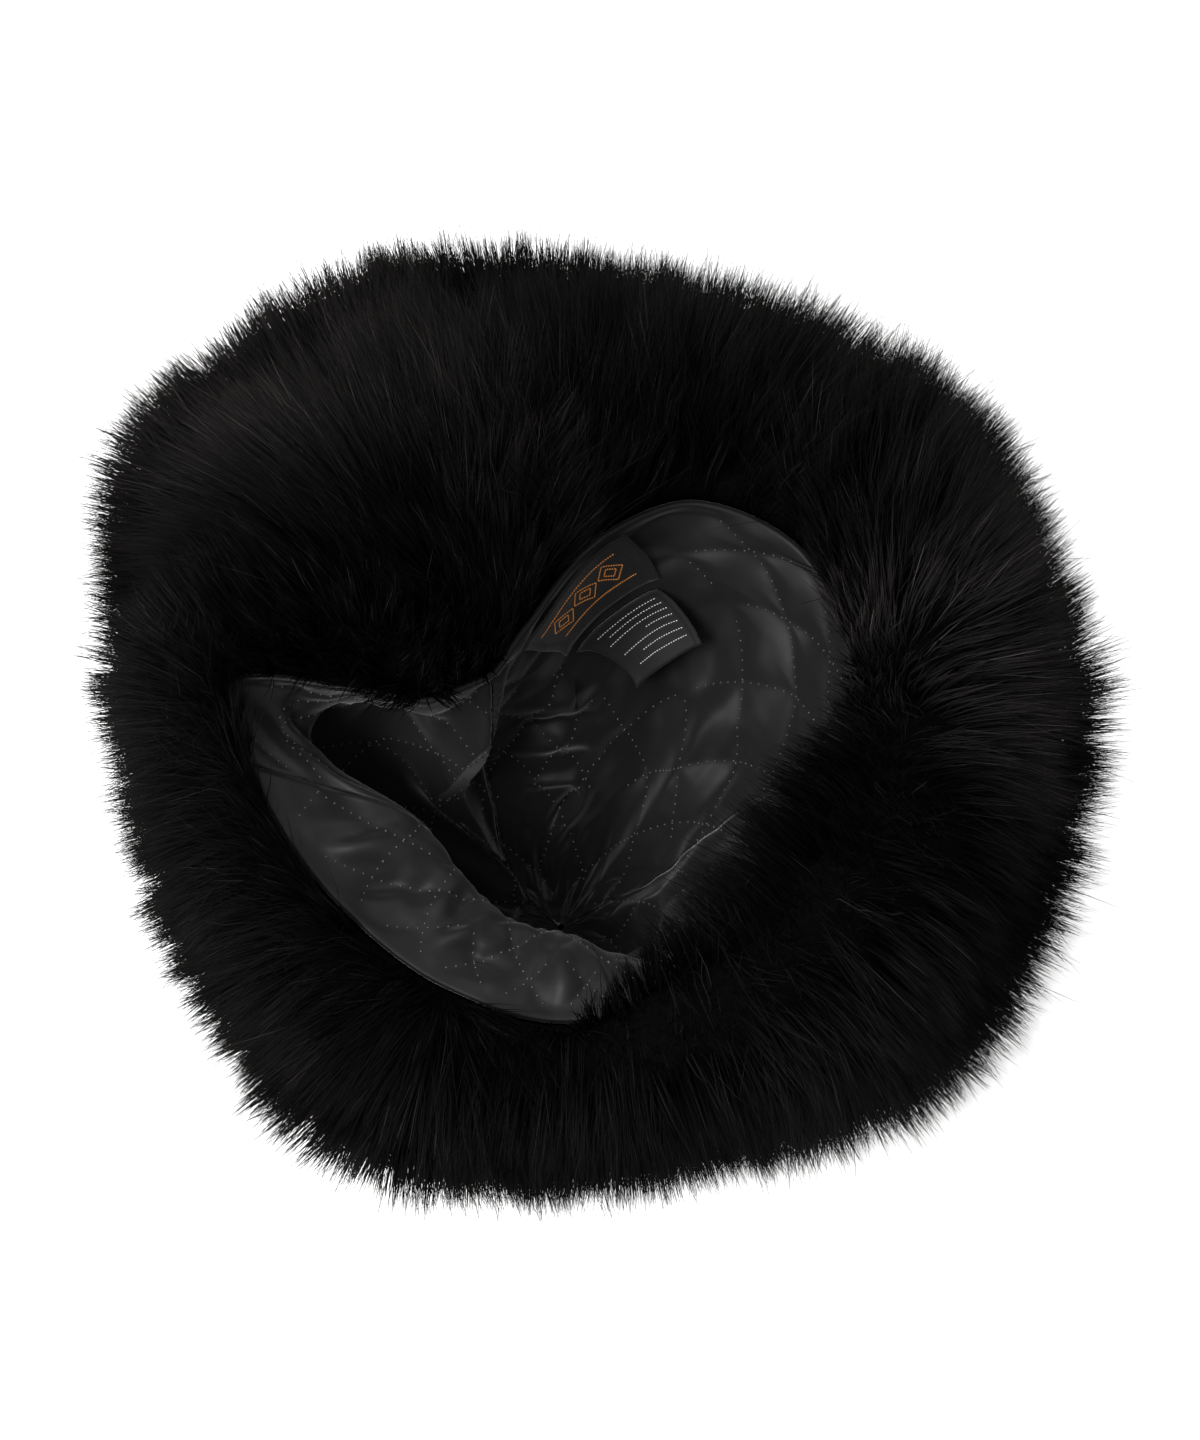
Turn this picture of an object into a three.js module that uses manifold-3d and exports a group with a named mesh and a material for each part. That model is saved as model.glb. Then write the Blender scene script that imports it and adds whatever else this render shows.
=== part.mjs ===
// Deep-fur bomber hat lying on its crown, with the opening up and the flaps turned up round it.
// X runs to the right, Y away from the viewer and Z up from the surface that the crown rests on.

import * as THREE from 'three';
import { mergeVertices } from 'three/addons/utils/BufferGeometryUtils.js';
import Module from 'manifold-3d';

const wasm = await Module();
wasm.setup();

// Driving dimensions in millimetres

const CROWN_RADIUS = 112; // cloth of the crown at its widest, to which the radius shares refer
const RIM_HEIGHT = 120; // seam of lining and fur above the surface, to which the height shares refer
const SIDE_HEIGHT = 72; // height of the crown's widest line
const TUCK_HEIGHT = 30; // height at which the crown turns in under itself
const BASE_FUR = 9.5; // fur pressed flat under the crown
const CROWN_CLOTH = 2.5; // cloth and hide of the crown
const UNDERFUR = 23; // dense fur between the tips of the locks, along the hair
const LOCK_LENGTH = 38; // locks of the flaps, from the cloth to their tips
const CROWN_LOCK_LENGTH = 27; // locks of the crown, which show below the flaps
const FLAP_GAP = 0.6; // flap to crown
const SEAM_GAP = 0.4; // back of the lining to the edge of the crown
const PARTING_GAP = 0.6; // flap to flap
const LINING_WALL = 2.2; // quilted satin
const GORE_GAP = 0.8; // gore to gore along a seam
const LINING_FLOOR = 15; // lowest point of the lining above the surface
const GATHER_RADIUS = 2.2; // where the tips of the gores meet
const WALL_HEIGHT = 60; // height of the lining's middle
const LOW_HEIGHT = 27; // height at which the lining turns to its floor
const LOW_RADIUS = 20;
const FOLD_HEIGHT = 10; // deepest folds of the lining
const LABEL_CLOTH = 1;
const LABEL_GAP = 0.8; // label to lining
const CARE_LABEL_RISE = 4; // free edge of the care label above the lining

// Where the middle of the hollow lies from the middle of the crown, as shares of CROWN_RADIUS
const HOLLOW = new THREE.Vector2(-0.107, -0.411).multiplyScalar(CROWN_RADIUS);

// Shape of the crown's profile: how far out the brow and shoulder lie between rim and side, and how much
// narrower than the side the tuck and the edge of the base are
const BROW_SHARE = 0.35;
const SHOULDER_SHARE = 0.82;
const TUCK_SHARE = 0.9;
const BASE_SHARE = 0.66;

// Fur: its lowest point, how far its length varies, and how it starts where it is pressed down at the rim
const FUR_CLEARANCE = 1;
const LOCK_VARIATION = 0.12;
const FULL_FUR_WAY = 1.3;
const PRESSED_LEAN = 0.6;

// How finely the walls are divided
const RING_STEPS = 72;
const GORE_STEP_ANGLE = 4.6;
const GORE_ROWS = 10;
const LABEL_COLUMNS = 6;
const LABEL_ROWS = 3;

// Sections of the crown. Turn is the angle round the hollow in degrees, anticlockwise from +X, and swing
// is how much further round the crown the same section reaches its side. Rim and side are shares of
// CROWN_RADIUS, rise and crest are shares of RIM_HEIGHT, and stand is the share of its full height that
// the fur has beside the rim.
const SECTIONS = [
  { turn: 0, swing: -17, rim: 0.705, rise: 0.95, crest: 1, side: 1.06, stand: 1 },
  { turn: 20, swing: -17, rim: 0.81, rise: 0.96, crest: 1.01, side: 1.05, stand: 1 },
  { turn: 38, swing: -14, rim: 0.908, rise: 0.98, crest: 1.02, side: 1.02, stand: 1 },
  { turn: 52, swing: -10, rim: 0.952, rise: 1, crest: 1.03, side: 1.035, stand: 1 },
  { turn: 66, swing: -4, rim: 0.92, rise: 1.02, crest: 1.04, side: 0.99, stand: 1 },
  { turn: 80, swing: 4, rim: 0.77, rise: 1.02, crest: 1.05, side: 1.01, stand: 1 },
  { turn: 97, swing: 11, rim: 0.526, rise: 1, crest: 1.06, side: 1.15, stand: 1 },
  { turn: 115, swing: 13, rim: 0.414, rise: 0.99, crest: 1.06, side: 1.24, stand: 1 },
  { turn: 135, swing: 11, rim: 0.443, rise: 0.99, crest: 1.06, side: 1.28, stand: 1 },
  { turn: 147, swing: 12, rim: 0.65, rise: 0.97, crest: 1.03, side: 1.11, stand: 0.8 },
  { turn: 156, swing: 20, rim: 0.91, rise: 0.95, crest: 0.97, side: 1.07, stand: 0.5 },
  { turn: 168, swing: 22, rim: 0.785, rise: 0.9, crest: 0.925, side: 1.02, stand: 0.3 },
  { turn: 185, swing: 23, rim: 0.644, rise: 0.87, crest: 0.895, side: 1.03, stand: 0.25 },
  { turn: 205, swing: 21, rim: 0.534, rise: 0.85, crest: 0.87, side: 1.06, stand: 0.25 },
  { turn: 225, swing: 14, rim: 0.48, rise: 0.84, crest: 0.86, side: 1.13, stand: 0.25 },
  { turn: 245, swing: 6, rim: 0.456, rise: 0.84, crest: 0.86, side: 1.07, stand: 0.25 },
  { turn: 265, swing: -3, rim: 0.463, rise: 0.84, crest: 0.86, side: 1.025, stand: 0.3 },
  { turn: 285, swing: -11, rim: 0.477, rise: 0.86, crest: 0.89, side: 1.01, stand: 0.5 },
  { turn: 305, swing: -15, rim: 0.515, rise: 0.9, crest: 0.94, side: 0.99, stand: 0.8 },
  { turn: 332, swing: -17, rim: 0.59, rise: 0.93, crest: 0.98, side: 1.07, stand: 1 },
];

// Sections of the lining at the same kind of turn. Lip is its edge under the rim and wall is its middle,
// as shares of CROWN_RADIUS, and dip is the height of the lip as a share of RIM_HEIGHT.
const LINING_SECTIONS = [
  { turn: 0, lip: 0.58, dip: 0.75, wall: 0.36 },
  { turn: 20, lip: 0.66, dip: 0.77, wall: 0.4 },
  { turn: 38, lip: 0.74, dip: 0.8, wall: 0.43 },
  { turn: 52, lip: 0.78, dip: 0.82, wall: 0.44 },
  { turn: 66, lip: 0.76, dip: 0.84, wall: 0.43 },
  { turn: 80, lip: 0.66, dip: 0.82, wall: 0.4 },
  { turn: 97, lip: 0.475, dip: 0.8, wall: 0.37 },
  { turn: 115, lip: 0.42, dip: 0.78, wall: 0.39 },
  { turn: 135, lip: 0.46, dip: 0.75, wall: 0.45 },
  { turn: 147, lip: 0.61, dip: 0.75, wall: 0.5 },
  { turn: 156, lip: 0.7, dip: 0.84, wall: 0.5 },
  { turn: 168, lip: 0.36, dip: 0.8, wall: 0.4 },
  { turn: 185, lip: 0.275, dip: 0.78, wall: 0.31 },
  { turn: 205, lip: 0.245, dip: 0.77, wall: 0.27 },
  { turn: 225, lip: 0.228, dip: 0.77, wall: 0.25 },
  { turn: 245, lip: 0.223, dip: 0.77, wall: 0.235 },
  { turn: 265, lip: 0.215, dip: 0.77, wall: 0.22 },
  { turn: 285, lip: 0.24, dip: 0.77, wall: 0.24 },
  { turn: 305, lip: 0.36, dip: 0.76, wall: 0.28 },
  { turn: 332, lip: 0.47, dip: 0.75, wall: 0.32 },
];

// Folds of the lining. Turn and drift give the fold's angle at the rim and how far it has moved round
// at the bottom, from and to are shares of the way down, width is in degrees and lift is a share of
// FOLD_HEIGHT, positive towards the hollow.
const FOLDS = [
  { turn: 104, drift: 56, from: 0.04, to: 0.8, width: 18, lift: 1 }, // roll beside the back seam
  { turn: 128, drift: 60, from: 0.08, to: 0.85, width: 14, lift: -0.9 }, // pocket under the overhang
  { turn: 150, drift: 0, from: 0.03, to: 0.42, width: 6, lift: 0.45 }, // upright folds in the pocket
  { turn: 141, drift: 0, from: 0.03, to: 0.36, width: 5, lift: 0.4 },
  { turn: 86, drift: 4, from: 0.32, to: 0.52, width: 14, lift: 0.5 }, // roll under the labels
  { turn: 79, drift: 4, from: 0.42, to: 0.95, width: 10, lift: 0.6 }, // curled fold beside the seam
  { turn: 58, drift: 0, from: 0.2, to: 0.95, width: 14, lift: -0.8 }, // valley right of the back
  { turn: 350, drift: 10, from: 0.4, to: 0.95, width: 22, lift: 0.5 }, // swell of the right front
  { turn: 180, drift: 4, from: 0, to: 0.24, width: 9, lift: 0.25 }, // creases along the turned-out lip
  { turn: 200, drift: 4, from: 0.02, to: 0.24, width: 9, lift: -0.25 },
  { turn: 224, drift: 2, from: 0, to: 0.24, width: 10, lift: 0.3 },
  { turn: 250, drift: 0, from: 0.02, to: 0.24, width: 10, lift: -0.25 },
  { turn: 272, drift: 0, from: 0, to: 0.24, width: 10, lift: 0.3 },
];

// Gores of the lining, each from one seam to the next. Drift is how far the seam has moved round at
// the bottom, in degrees.
const SEAMS = [
  { gore: 'lining_front_left', turn: 167, drift: 0 },
  { gore: 'lining_front_right', turn: 290, drift: -6 },
  { gore: 'lining_back_right', turn: 378, drift: 0 },
  { gore: 'lining_back_left', turn: 466, drift: 24 },
];

// Corners of the labels: each edge has its two turns, in degrees, and two shares of the way down
const MAKER_LABEL = {
  top: { startTurn: 78, endTurn: 102, startShare: 0.01, endShare: 0.02 },
  bottom: { startTurn: 70, endTurn: 89, startShare: 0.22, endShare: 0.28 },
};
const CARE_LABEL = {
  top: { startTurn: 70, endTurn: 86, startShare: 0.25, endShare: 0.3 },
  bottom: { startTurn: 57, endTurn: 68, startShare: 0.31, endShare: 0.4 },
};

// Flaps, each from one parting of the fur to the next, as turns round the hollow
const PARTINGS = [
  { flap: 'ear_flap_right', turn: 29 },
  { flap: 'ear_flap_left', turn: 102 },
  { flap: 'front_flap', turn: 205.5 },
];

// Rows of the flaps' fur, from the rim over the crest and down. Way is the place on the profile, where
// a whole number is one of its knots, and lean is the angle between hair and cloth in degrees. Locks
// stand in the rows that have a length, as a share of LOCK_LENGTH.
const FLAP_FUR_ROWS = [
  { way: 0, lean: 80 },
  { way: 0.35, lean: 76, length: 0.78 },
  { way: 0.8, lean: 72 },
  { way: 1.2, lean: 68, length: 0.9 },
  { way: 1.5, lean: 62 },
  { way: 1.8, lean: 58, length: 1 },
  { way: 2.05, lean: 62 },
  { way: 2.3, lean: 60, length: 1 },
  { way: 2.55, lean: 58 },
  { way: 2.8, lean: 56, length: 1 },
  { way: 3.05, lean: 52 },
  { way: 3.3, lean: 46, length: 0.95 },
  { way: 3.6, lean: 40 },
  { way: 3.9, lean: 36 },
];

// Rows of the crown's own fur below the flaps, which lies outwards over the surface
const CROWN_FUR_ROWS = [
  { way: 4.5, lean: 60 },
  { way: 4.78, lean: 40, length: 1 },
];

// Places on the profile at which the walls are divided
const PROFILE_END = 6; // middle of the crown
const UNDER_FLAP = [0, 0.5, 1, 1.6, 2.2, 2.7, 3.2, 3.9];
const BASE_EDGE = 5.1;
const INSIDE = [5, 4.55, 4.1, 3.6, 3.1, 2.5, 1.8, 1, 0.45, 0];

// Angles and shares

const RADIANS = Math.PI / 180;
const FULL_TURN = 360;
const PROBE = 0.02; // step with which slopes are measured

const mix = THREE.MathUtils.lerp;

function easeIn(value) {
  return THREE.MathUtils.smoothstep(value, 0, 1);
}

// Direction in the plan at an angle in degrees
function heading(angle) {
  return new THREE.Vector2(Math.cos(angle * RADIANS), Math.sin(angle * RADIANS));
}

// A repeatable share between -1 and 1 that differs from number to number
function scatter(number) {
  const wave = Math.sin(number * 12.9898 + 4.1) * 43758.5453;
  return 2 * (wave - Math.floor(wave)) - 1;
}

// One row of a table, counted on past its end round the hat
function rowAt(table, index) {
  const laps = Math.floor(index / table.length);
  const row = table[index - laps * table.length];
  return { ...row, turn: row.turn + laps * FULL_TURN };
}

// Slope of a column at a row, level where the column turns back, so that curves never overshoot
function slopeAt(table, column, index) {
  const [before, here, after] = [index - 1, index, index + 1].map((place) => rowAt(table, place));
  const rising = (here[column] - before[column]) / (here.turn - before.turn);
  const falling = (after[column] - here[column]) / (after.turn - here.turn);
  return rising * falling <= 0 ? 0 : (2 * rising * falling) / (rising + falling);
}

// Value of a column at any turn
function around(table, column, turn) {
  const angle = THREE.MathUtils.euclideanModulo(turn, FULL_TURN);
  const index = table.findLastIndex((row) => row.turn <= angle);
  const start = rowAt(table, index);
  const end = rowAt(table, index + 1);
  const span = end.turn - start.turn;
  const share = (angle - start.turn) / span;
  const inverse = 1 - share;
  return (
    start[column] * inverse * inverse * (1 + 2 * share) +
    end[column] * share * share * (1 + 2 * inverse) +
    slopeAt(table, column, index) * span * share * inverse * inverse -
    slopeAt(table, column, index + 1) * span * share * share * inverse
  );
}

// Point at a turn and distance from the middle of the hollow
function fromHollow(turn, distance, height) {
  const plan = heading(turn).multiplyScalar(distance).add(HOLLOW);
  return new THREE.Vector3(plan.x, plan.y, height);
}

// Point at a turn and distance from the middle of the crown
function fromCrown(turn, distance, height) {
  const plan = heading(turn + around(SECTIONS, 'swing', turn)).multiplyScalar(distance);
  return new THREE.Vector3(plan.x, plan.y, height);
}

// Edge of the lining's visible face
function rimPoint(turn) {
  const rim = around(SECTIONS, 'rim', turn) * CROWN_RADIUS;
  return fromHollow(turn, rim, around(SECTIONS, 'rise', turn) * RIM_HEIGHT);
}

// Edge of the crown's cloth, behind the lining
function crownEdge(turn) {
  const along = rimPoint(turn + 1).sub(rimPoint(turn - 1));
  const outwards = new THREE.Vector3(along.y, -along.x, 0).normalize();
  return rimPoint(turn).addScaledVector(outwards, LINING_WALL + SEAM_GAP);
}

// Profile of the crown's cloth from the rim over the crest to the middle of its base
function crownProfile(turn) {
  const side = around(SECTIONS, 'side', turn) * CROWN_RADIUS;
  const crest = around(SECTIONS, 'crest', turn) * RIM_HEIGHT;
  const rim = crownEdge(turn);
  const widest = fromCrown(turn, side, SIDE_HEIGHT);
  const brow = rim.clone().lerp(widest, BROW_SHARE).setZ(crest);
  const shoulder = rim.clone().lerp(widest, SHOULDER_SHARE).setZ(mix(SIDE_HEIGHT, crest, SHOULDER_SHARE));
  const tuck = fromCrown(turn, side * TUCK_SHARE, TUCK_HEIGHT);
  const base = fromCrown(turn, side * BASE_SHARE, 0);
  return [rim, brow, shoulder, widest, tuck, base, new THREE.Vector3(0, 0, 0)];
}

const crownCurves = new Map();

// Point of the crown's cloth, pressed flat where it lies on the fur under it
function crownPoint(turn, way) {
  if (!crownCurves.has(turn)) {
    crownCurves.set(turn, new THREE.CatmullRomCurve3(crownProfile(turn), false, 'centripetal'));
  }
  const point = crownCurves.get(turn).getPoint(way / PROFILE_END);
  return point.setZ(Math.max(point.z, BASE_FUR));
}

// Bump of a fold, 1 at its line and 0 a width away from it
function foldShape(distance, width) {
  return Math.abs(distance) < width ? Math.cos((distance / width) * 0.5 * Math.PI) ** 2 : 0;
}

// Height of all folds at a place on the lining
function foldHeight(turn, depth) {
  let height = 0;
  for (const fold of FOLDS) {
    const line = fold.turn + fold.drift * depth;
    const apart = THREE.MathUtils.euclideanModulo(turn - line + FULL_TURN / 2, FULL_TURN) - FULL_TURN / 2;
    const middle = (fold.from + fold.to) / 2;
    const along = foldShape(depth - middle, (fold.to - fold.from) / 2);
    height += fold.lift * FOLD_HEIGHT * foldShape(apart, fold.width) * Math.sqrt(along);
  }
  return height;
}

// Knots of the lining from the rim over the lip and down the wall to the bottom
function liningProfile(turn) {
  const lip = around(LINING_SECTIONS, 'lip', turn) * CROWN_RADIUS;
  return [
    rimPoint(turn),
    fromHollow(turn, lip, around(LINING_SECTIONS, 'dip', turn) * RIM_HEIGHT),
    fromHollow(turn, around(LINING_SECTIONS, 'wall', turn) * CROWN_RADIUS, WALL_HEIGHT),
    fromHollow(turn, LOW_RADIUS, LOW_HEIGHT),
    fromHollow(turn, GATHER_RADIUS, LINING_FLOOR + LINING_WALL),
  ];
}

const liningCurves = new Map();

function smoothLining(turn, depth) {
  if (!liningCurves.has(turn)) {
    liningCurves.set(turn, new THREE.CatmullRomCurve3(liningProfile(turn), false, 'centripetal'));
  }
  return liningCurves.get(turn).getPoint(depth);
}

// Unit normal of a surface given as a function of turn and way, up where way runs away from the hollow
function normalOf(surface, turn, way, end) {
  const before = Math.max(way - PROBE, 0);
  const after = Math.min(way + PROBE, end);
  const along = surface(turn, after).sub(surface(turn, before));
  const across = surface(turn + 0.5, way).sub(surface(turn - 0.5, way));
  return along.cross(across).normalize();
}

// Point of the lining's visible face, with its folds
function liningPoint(turn, depth) {
  const normal = normalOf(smoothLining, turn, depth, 1).negate();
  const fade = 1 - easeIn((depth - 0.8) / 0.2);
  return smoothLining(turn, depth).addScaledVector(normal, foldHeight(turn, depth) * fade);
}

// Point a distance off the crown's cloth, outwards
function offCrown(turn, way, distance) {
  const normal = normalOf(crownPoint, turn, way, PROFILE_END);
  const point = crownPoint(turn, way).addScaledVector(normal, distance);
  return point.setZ(Math.max(point.z, 0));
}

// Point a distance off the lining's visible face, towards the hollow
function offLining(turn, depth, distance) {
  const normal = normalOf(liningPoint, turn, depth, 1).negate();
  return liningPoint(turn, depth).addScaledVector(normal, distance);
}

// Closed solids from grids of points

function geometryOf(points, faces) {
  const geometry = new THREE.BufferGeometry();
  const places = points.flatMap((point) => point.toArray());
  geometry.setAttribute('position', new THREE.Float32BufferAttribute(places, 3));
  geometry.setIndex(faces);
  return geometry;
}

// Rings of points joined in order, with a pole at each end
function bowl(rings, firstPole, lastPole) {
  const count = rings[0].length;
  const points = [firstPole, ...rings.flat(), lastPole];
  const faces = [];
  const last = points.length - 1;
  for (let i = 0; i < count; i += 1) {
    const next = (i + 1) % count;
    faces.push(0, 1 + i, 1 + next);
    for (let ring = 0; ring < rings.length - 1; ring += 1) {
      const low = 1 + ring * count;
      const high = low + count;
      faces.push(low + i, high + i, low + next, low + next, high + i, high + next);
    }
    const edge = 1 + (rings.length - 1) * count;
    faces.push(last, edge + next, edge + i);
  }
  return geometryOf(points, faces);
}

// Sections joined in order and back to the first, each a closed loop of points
function closedRing(sections) {
  const count = sections[0].length;
  const faces = [];
  sections.forEach((section, index) => {
    const here = index * count;
    const there = ((index + 1) % sections.length) * count;
    for (let i = 0; i < count; i += 1) {
      const next = (i + 1) % count;
      faces.push(here + i, there + i, here + next, here + next, there + i, there + next);
    }
  });
  return geometryOf(sections.flat(), faces);
}

// A wall between two faces, each a list of rows of points
function wall(front, back) {
  const rows = front.length;
  const columns = front[0].length;
  const points = [...front.flat(), ...back.flat()];
  const behind = rows * columns;
  const faces = [];
  const quad = (a, b, c, d) => faces.push(a, b, c, a, c, d);
  for (let row = 0; row < rows - 1; row += 1) {
    for (let column = 0; column < columns - 1; column += 1) {
      const corner = row * columns + column;
      quad(corner, corner + 1, corner + columns + 1, corner + columns);
      quad(behind + corner, behind + corner + columns, behind + corner + columns + 1, behind + corner + 1);
    }
  }
  for (let column = 0; column < columns - 1; column += 1) {
    const last = (rows - 1) * columns + column;
    quad(column, behind + column, behind + column + 1, column + 1);
    quad(last, last + 1, behind + last + 1, behind + last);
  }
  for (let row = 0; row < rows - 1; row += 1) {
    const first = row * columns;
    const last = first + columns - 1;
    quad(first, first + columns, behind + first + columns, behind + first);
    quad(last, behind + last, behind + last + columns, last + columns);
  }
  return geometryOf(points, faces);
}

function toManifold(geometry) {
  const bare = geometry.clone();
  bare.deleteAttribute('normal');
  bare.deleteAttribute('uv');
  const merged = mergeVertices(bare);
  return new wasm.Manifold(
    new wasm.Mesh({
      numProp: 3,
      vertProperties: new Float32Array(merged.attributes.position.array),
      triVerts: new Uint32Array(merged.index.array),
    })
  );
}

function toGeometry(manifold) {
  const mesh = manifold.getMesh();
  const geometry = new THREE.BufferGeometry();
  geometry.setAttribute('position', new THREE.BufferAttribute(new Float32Array(mesh.vertProperties), 3));
  geometry.setIndex(new THREE.BufferAttribute(new Uint32Array(mesh.triVerts), 1));
  return geometry;
}

// Fur

// Share of its full height that the fur has, less beside the rim where the lining is turned out
function furHeight(turn, way) {
  return mix(around(SECTIONS, 'stand', turn), 1, easeIn(way / FULL_FUR_WAY));
}

// Point in the fur, at a length along hair that leans over from the cloth
function inFur(turn, way, lean, length) {
  const cloth = crownPoint(turn, way);
  const normal = normalOf(crownPoint, turn, way, PROFILE_END);
  const ahead = crownPoint(turn, way + PROBE).sub(cloth).normalize();
  const point = cloth.addScaledVector(normal, length * Math.sin(lean * RADIANS));
  point.addScaledVector(ahead, length * Math.cos(lean * RADIANS));
  return point.setZ(Math.max(point.z, FUR_CLEARANCE));
}

// A ring of the fur's outer face, with a lock at every other step where the row has locks
function furRing(row, rowIndex, ringPoint) {
  return Array.from({ length: RING_STEPS }, (_, step) => {
    const hasLock = row.length && (step + (rowIndex - 1) / 2) % 2 === 0;
    const length = hasLock ? row.length * (1 + LOCK_VARIATION * scatter(step + RING_STEPS * rowIndex)) : 0;
    return ringPoint((step / RING_STEPS) * FULL_TURN, row, length);
  });
}

function flapFurPoint(turn, row, lockShare) {
  const height = furHeight(turn, row.way);
  const length = FLAP_GAP + height * (lockShare ? lockShare * LOCK_LENGTH : UNDERFUR);
  return inFur(turn, row.way, row.lean * mix(PRESSED_LEAN, 1, height), length);
}

function crownFurPoint(turn, row, lockShare) {
  return inFur(turn, row.way, 180 - row.lean, lockShare ? lockShare * CROWN_LOCK_LENGTH : BASE_FUR);
}

// The turned-up flaps as one ring of dense fur with locks on it, before it is parted
function flapRing() {
  const inner = UNDER_FLAP.map((way) => crownRing(way, FLAP_GAP));
  const outer = FLAP_FUR_ROWS.map((row, index) => furRing(row, index, flapFurPoint)).reverse();
  const rings = [...inner, ...outer];
  return closedRing(Array.from({ length: RING_STEPS }, (_, step) => rings.map((ring) => ring[step])));
}

// Upright prism that holds one flap, from parting to parting round the middle of the hollow
function flapSector(from, to) {
  const reach = 4 * CROWN_RADIUS;
  const cornerStep = 40;
  const bounds = [from, to].map((turn, index) => {
    const inner = crownPoint(turn, 0);
    const outer = crownPoint(turn, 3);
    const direction = new THREE.Vector2(outer.x - inner.x, outer.y - inner.y).normalize();
    const aside = new THREE.Vector2(-direction.y, direction.x).multiplyScalar(index ? -1 : 1);
    const start = new THREE.Vector2(inner.x, inner.y).addScaledVector(aside, PARTING_GAP / 2);
    return [start, start.clone().addScaledVector(direction, reach)];
  });
  const outline = [HOLLOW, bounds[0][0], bounds[0][1]];
  for (let turn = from + cornerStep; turn < to - cornerStep / 2; turn += cornerStep) {
    outline.push(heading(turn).multiplyScalar(Math.SQRT2 * reach));
  }
  outline.push(bounds[1][1], bounds[1][0]);
  const depth = 2 * RIM_HEIGHT;
  return new THREE.ExtrudeGeometry(new THREE.Shape(outline), { depth, bevelEnabled: false });
}

// A ring of points round the hat, a distance off the crown's cloth
function crownRing(way, distance) {
  const turnAt = (step) => (step / RING_STEPS) * FULL_TURN;
  return Array.from({ length: RING_STEPS }, (_, step) => offCrown(turnAt(step), way, distance));
}

// The crown: a bowl of cloth with its own fur below the flaps, pressed flat under the middle
function crown() {
  const rings = [
    ...INSIDE.map((way) => crownRing(way, -CROWN_CLOTH)),
    ...UNDER_FLAP.map((way) => crownRing(way, 0)),
    ...CROWN_FUR_ROWS.map((row, index) => furRing(row, index, crownFurPoint)),
    crownRing(BASE_EDGE, BASE_FUR),
  ];
  const inside = new THREE.Vector3(0, 0, BASE_FUR + CROWN_CLOTH);
  return bowl(rings, inside, new THREE.Vector3(0, 0, 0));
}

// Lining and labels

// Turn of a seam at a depth, half a gap inside the gore that it bounds
function seamTurn(seam, depth, sign) {
  const turn = seam.turn + seam.drift * depth;
  const point = smoothLining(turn, depth);
  const distance = Math.hypot(point.x - HOLLOW.x, point.y - HOLLOW.y);
  return turn + (sign * GORE_GAP) / 2 / distance / RADIANS;
}

function gore(index) {
  const start = SEAMS[index];
  const following = SEAMS[(index + 1) % SEAMS.length];
  const wrap = index === SEAMS.length - 1 ? FULL_TURN : 0;
  const end = { ...following, turn: following.turn + wrap };
  const columns = Math.ceil((end.turn - start.turn) / GORE_STEP_ANGLE);
  const faceAt = (distance) =>
    Array.from({ length: GORE_ROWS + 1 }, (_, row) => {
      const depth = row / GORE_ROWS;
      const [first, last] = [seamTurn(start, depth, 1), seamTurn(end, depth, -1)];
      return Array.from({ length: columns + 1 }, (__, column) =>
        offLining(mix(first, last, column / columns), depth, distance)
      );
    });
  return wall(faceAt(0), faceAt(-LINING_WALL));
}

// A patch of cloth laid over the lining, with its lower edge a rise above it
function label(patch, rise) {
  const faceAt = (extra) =>
    Array.from({ length: LABEL_ROWS + 1 }, (_, row) => {
      const down = row / LABEL_ROWS;
      return Array.from({ length: LABEL_COLUMNS + 1 }, (__, column) => {
        const along = column / LABEL_COLUMNS;
        const [top, bottom] = [patch.top, patch.bottom].map((edge) => ({
          turn: mix(edge.startTurn, edge.endTurn, along),
          depth: mix(edge.startShare, edge.endShare, along),
        }));
        const turn = mix(top.turn, bottom.turn, down);
        const depth = mix(top.depth, bottom.depth, down);
        return offLining(turn, depth, LABEL_GAP + extra + rise * down * down);
      });
    });
  return wall(faceAt(LABEL_CLOTH), faceAt(0));
}


// Finishes

const FUR = { color: 0x0b0a0a, roughness: 0.95, metalness: 0 };
const SATIN = { color: 0x17161a, roughness: 0.34, metalness: 0 };
const WOVEN = { color: 0x0d0d0e, roughness: 0.7, metalness: 0 };
const RIBBON = { color: 0x101012, roughness: 0.45, metalness: 0 };

const hat = new THREE.Group();

function addPiece(name, geometry, finish) {
  const mesh = new THREE.Mesh(geometry, new THREE.MeshStandardMaterial(finish));
  mesh.name = name;
  hat.add(mesh);
}

addPiece('crown', crown(), FUR);

const flaps = toManifold(flapRing());
PARTINGS.forEach((parting, index) => {
  const next = PARTINGS[(index + 1) % PARTINGS.length];
  const end = next.turn > parting.turn ? next.turn : next.turn + FULL_TURN;
  const sector = toManifold(flapSector(parting.turn, end));
  addPiece(parting.flap, toGeometry(flaps.intersect(sector)), FUR);
});

SEAMS.forEach((seam, index) => addPiece(seam.gore, gore(index), SATIN));
addPiece('maker_label', label(MAKER_LABEL, 0), WOVEN);
addPiece('care_label', label(CARE_LABEL, CARE_LABEL_RISE), RIBBON);

// The hat's origin is under the middle of its outline
const outline = new THREE.Box3().setFromObject(hat);
const middle = outline.getCenter(new THREE.Vector3());
hat.position.set(-middle.x, -middle.y, 0);

export default hat;
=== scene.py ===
# %% [markdown]
# # A deep-fur bomber hat, lying on its crown
#
# The hat lies upside down with its opening up. Its flaps are turned up all round, so what shows is a
# thick ring of black fur round a hollow that is lined with quilted satin. One side is folded in.
# This lesson builds that look round a frame of plain solids that is loaded first. The fur is made of
# many thin strands, the lining of four gores, and each piece takes the place of its plain solid.

# %% Load the frame
import math
import time

import bpy
import numpy as np
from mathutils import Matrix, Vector
from mathutils.kdtree import KDTree


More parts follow.
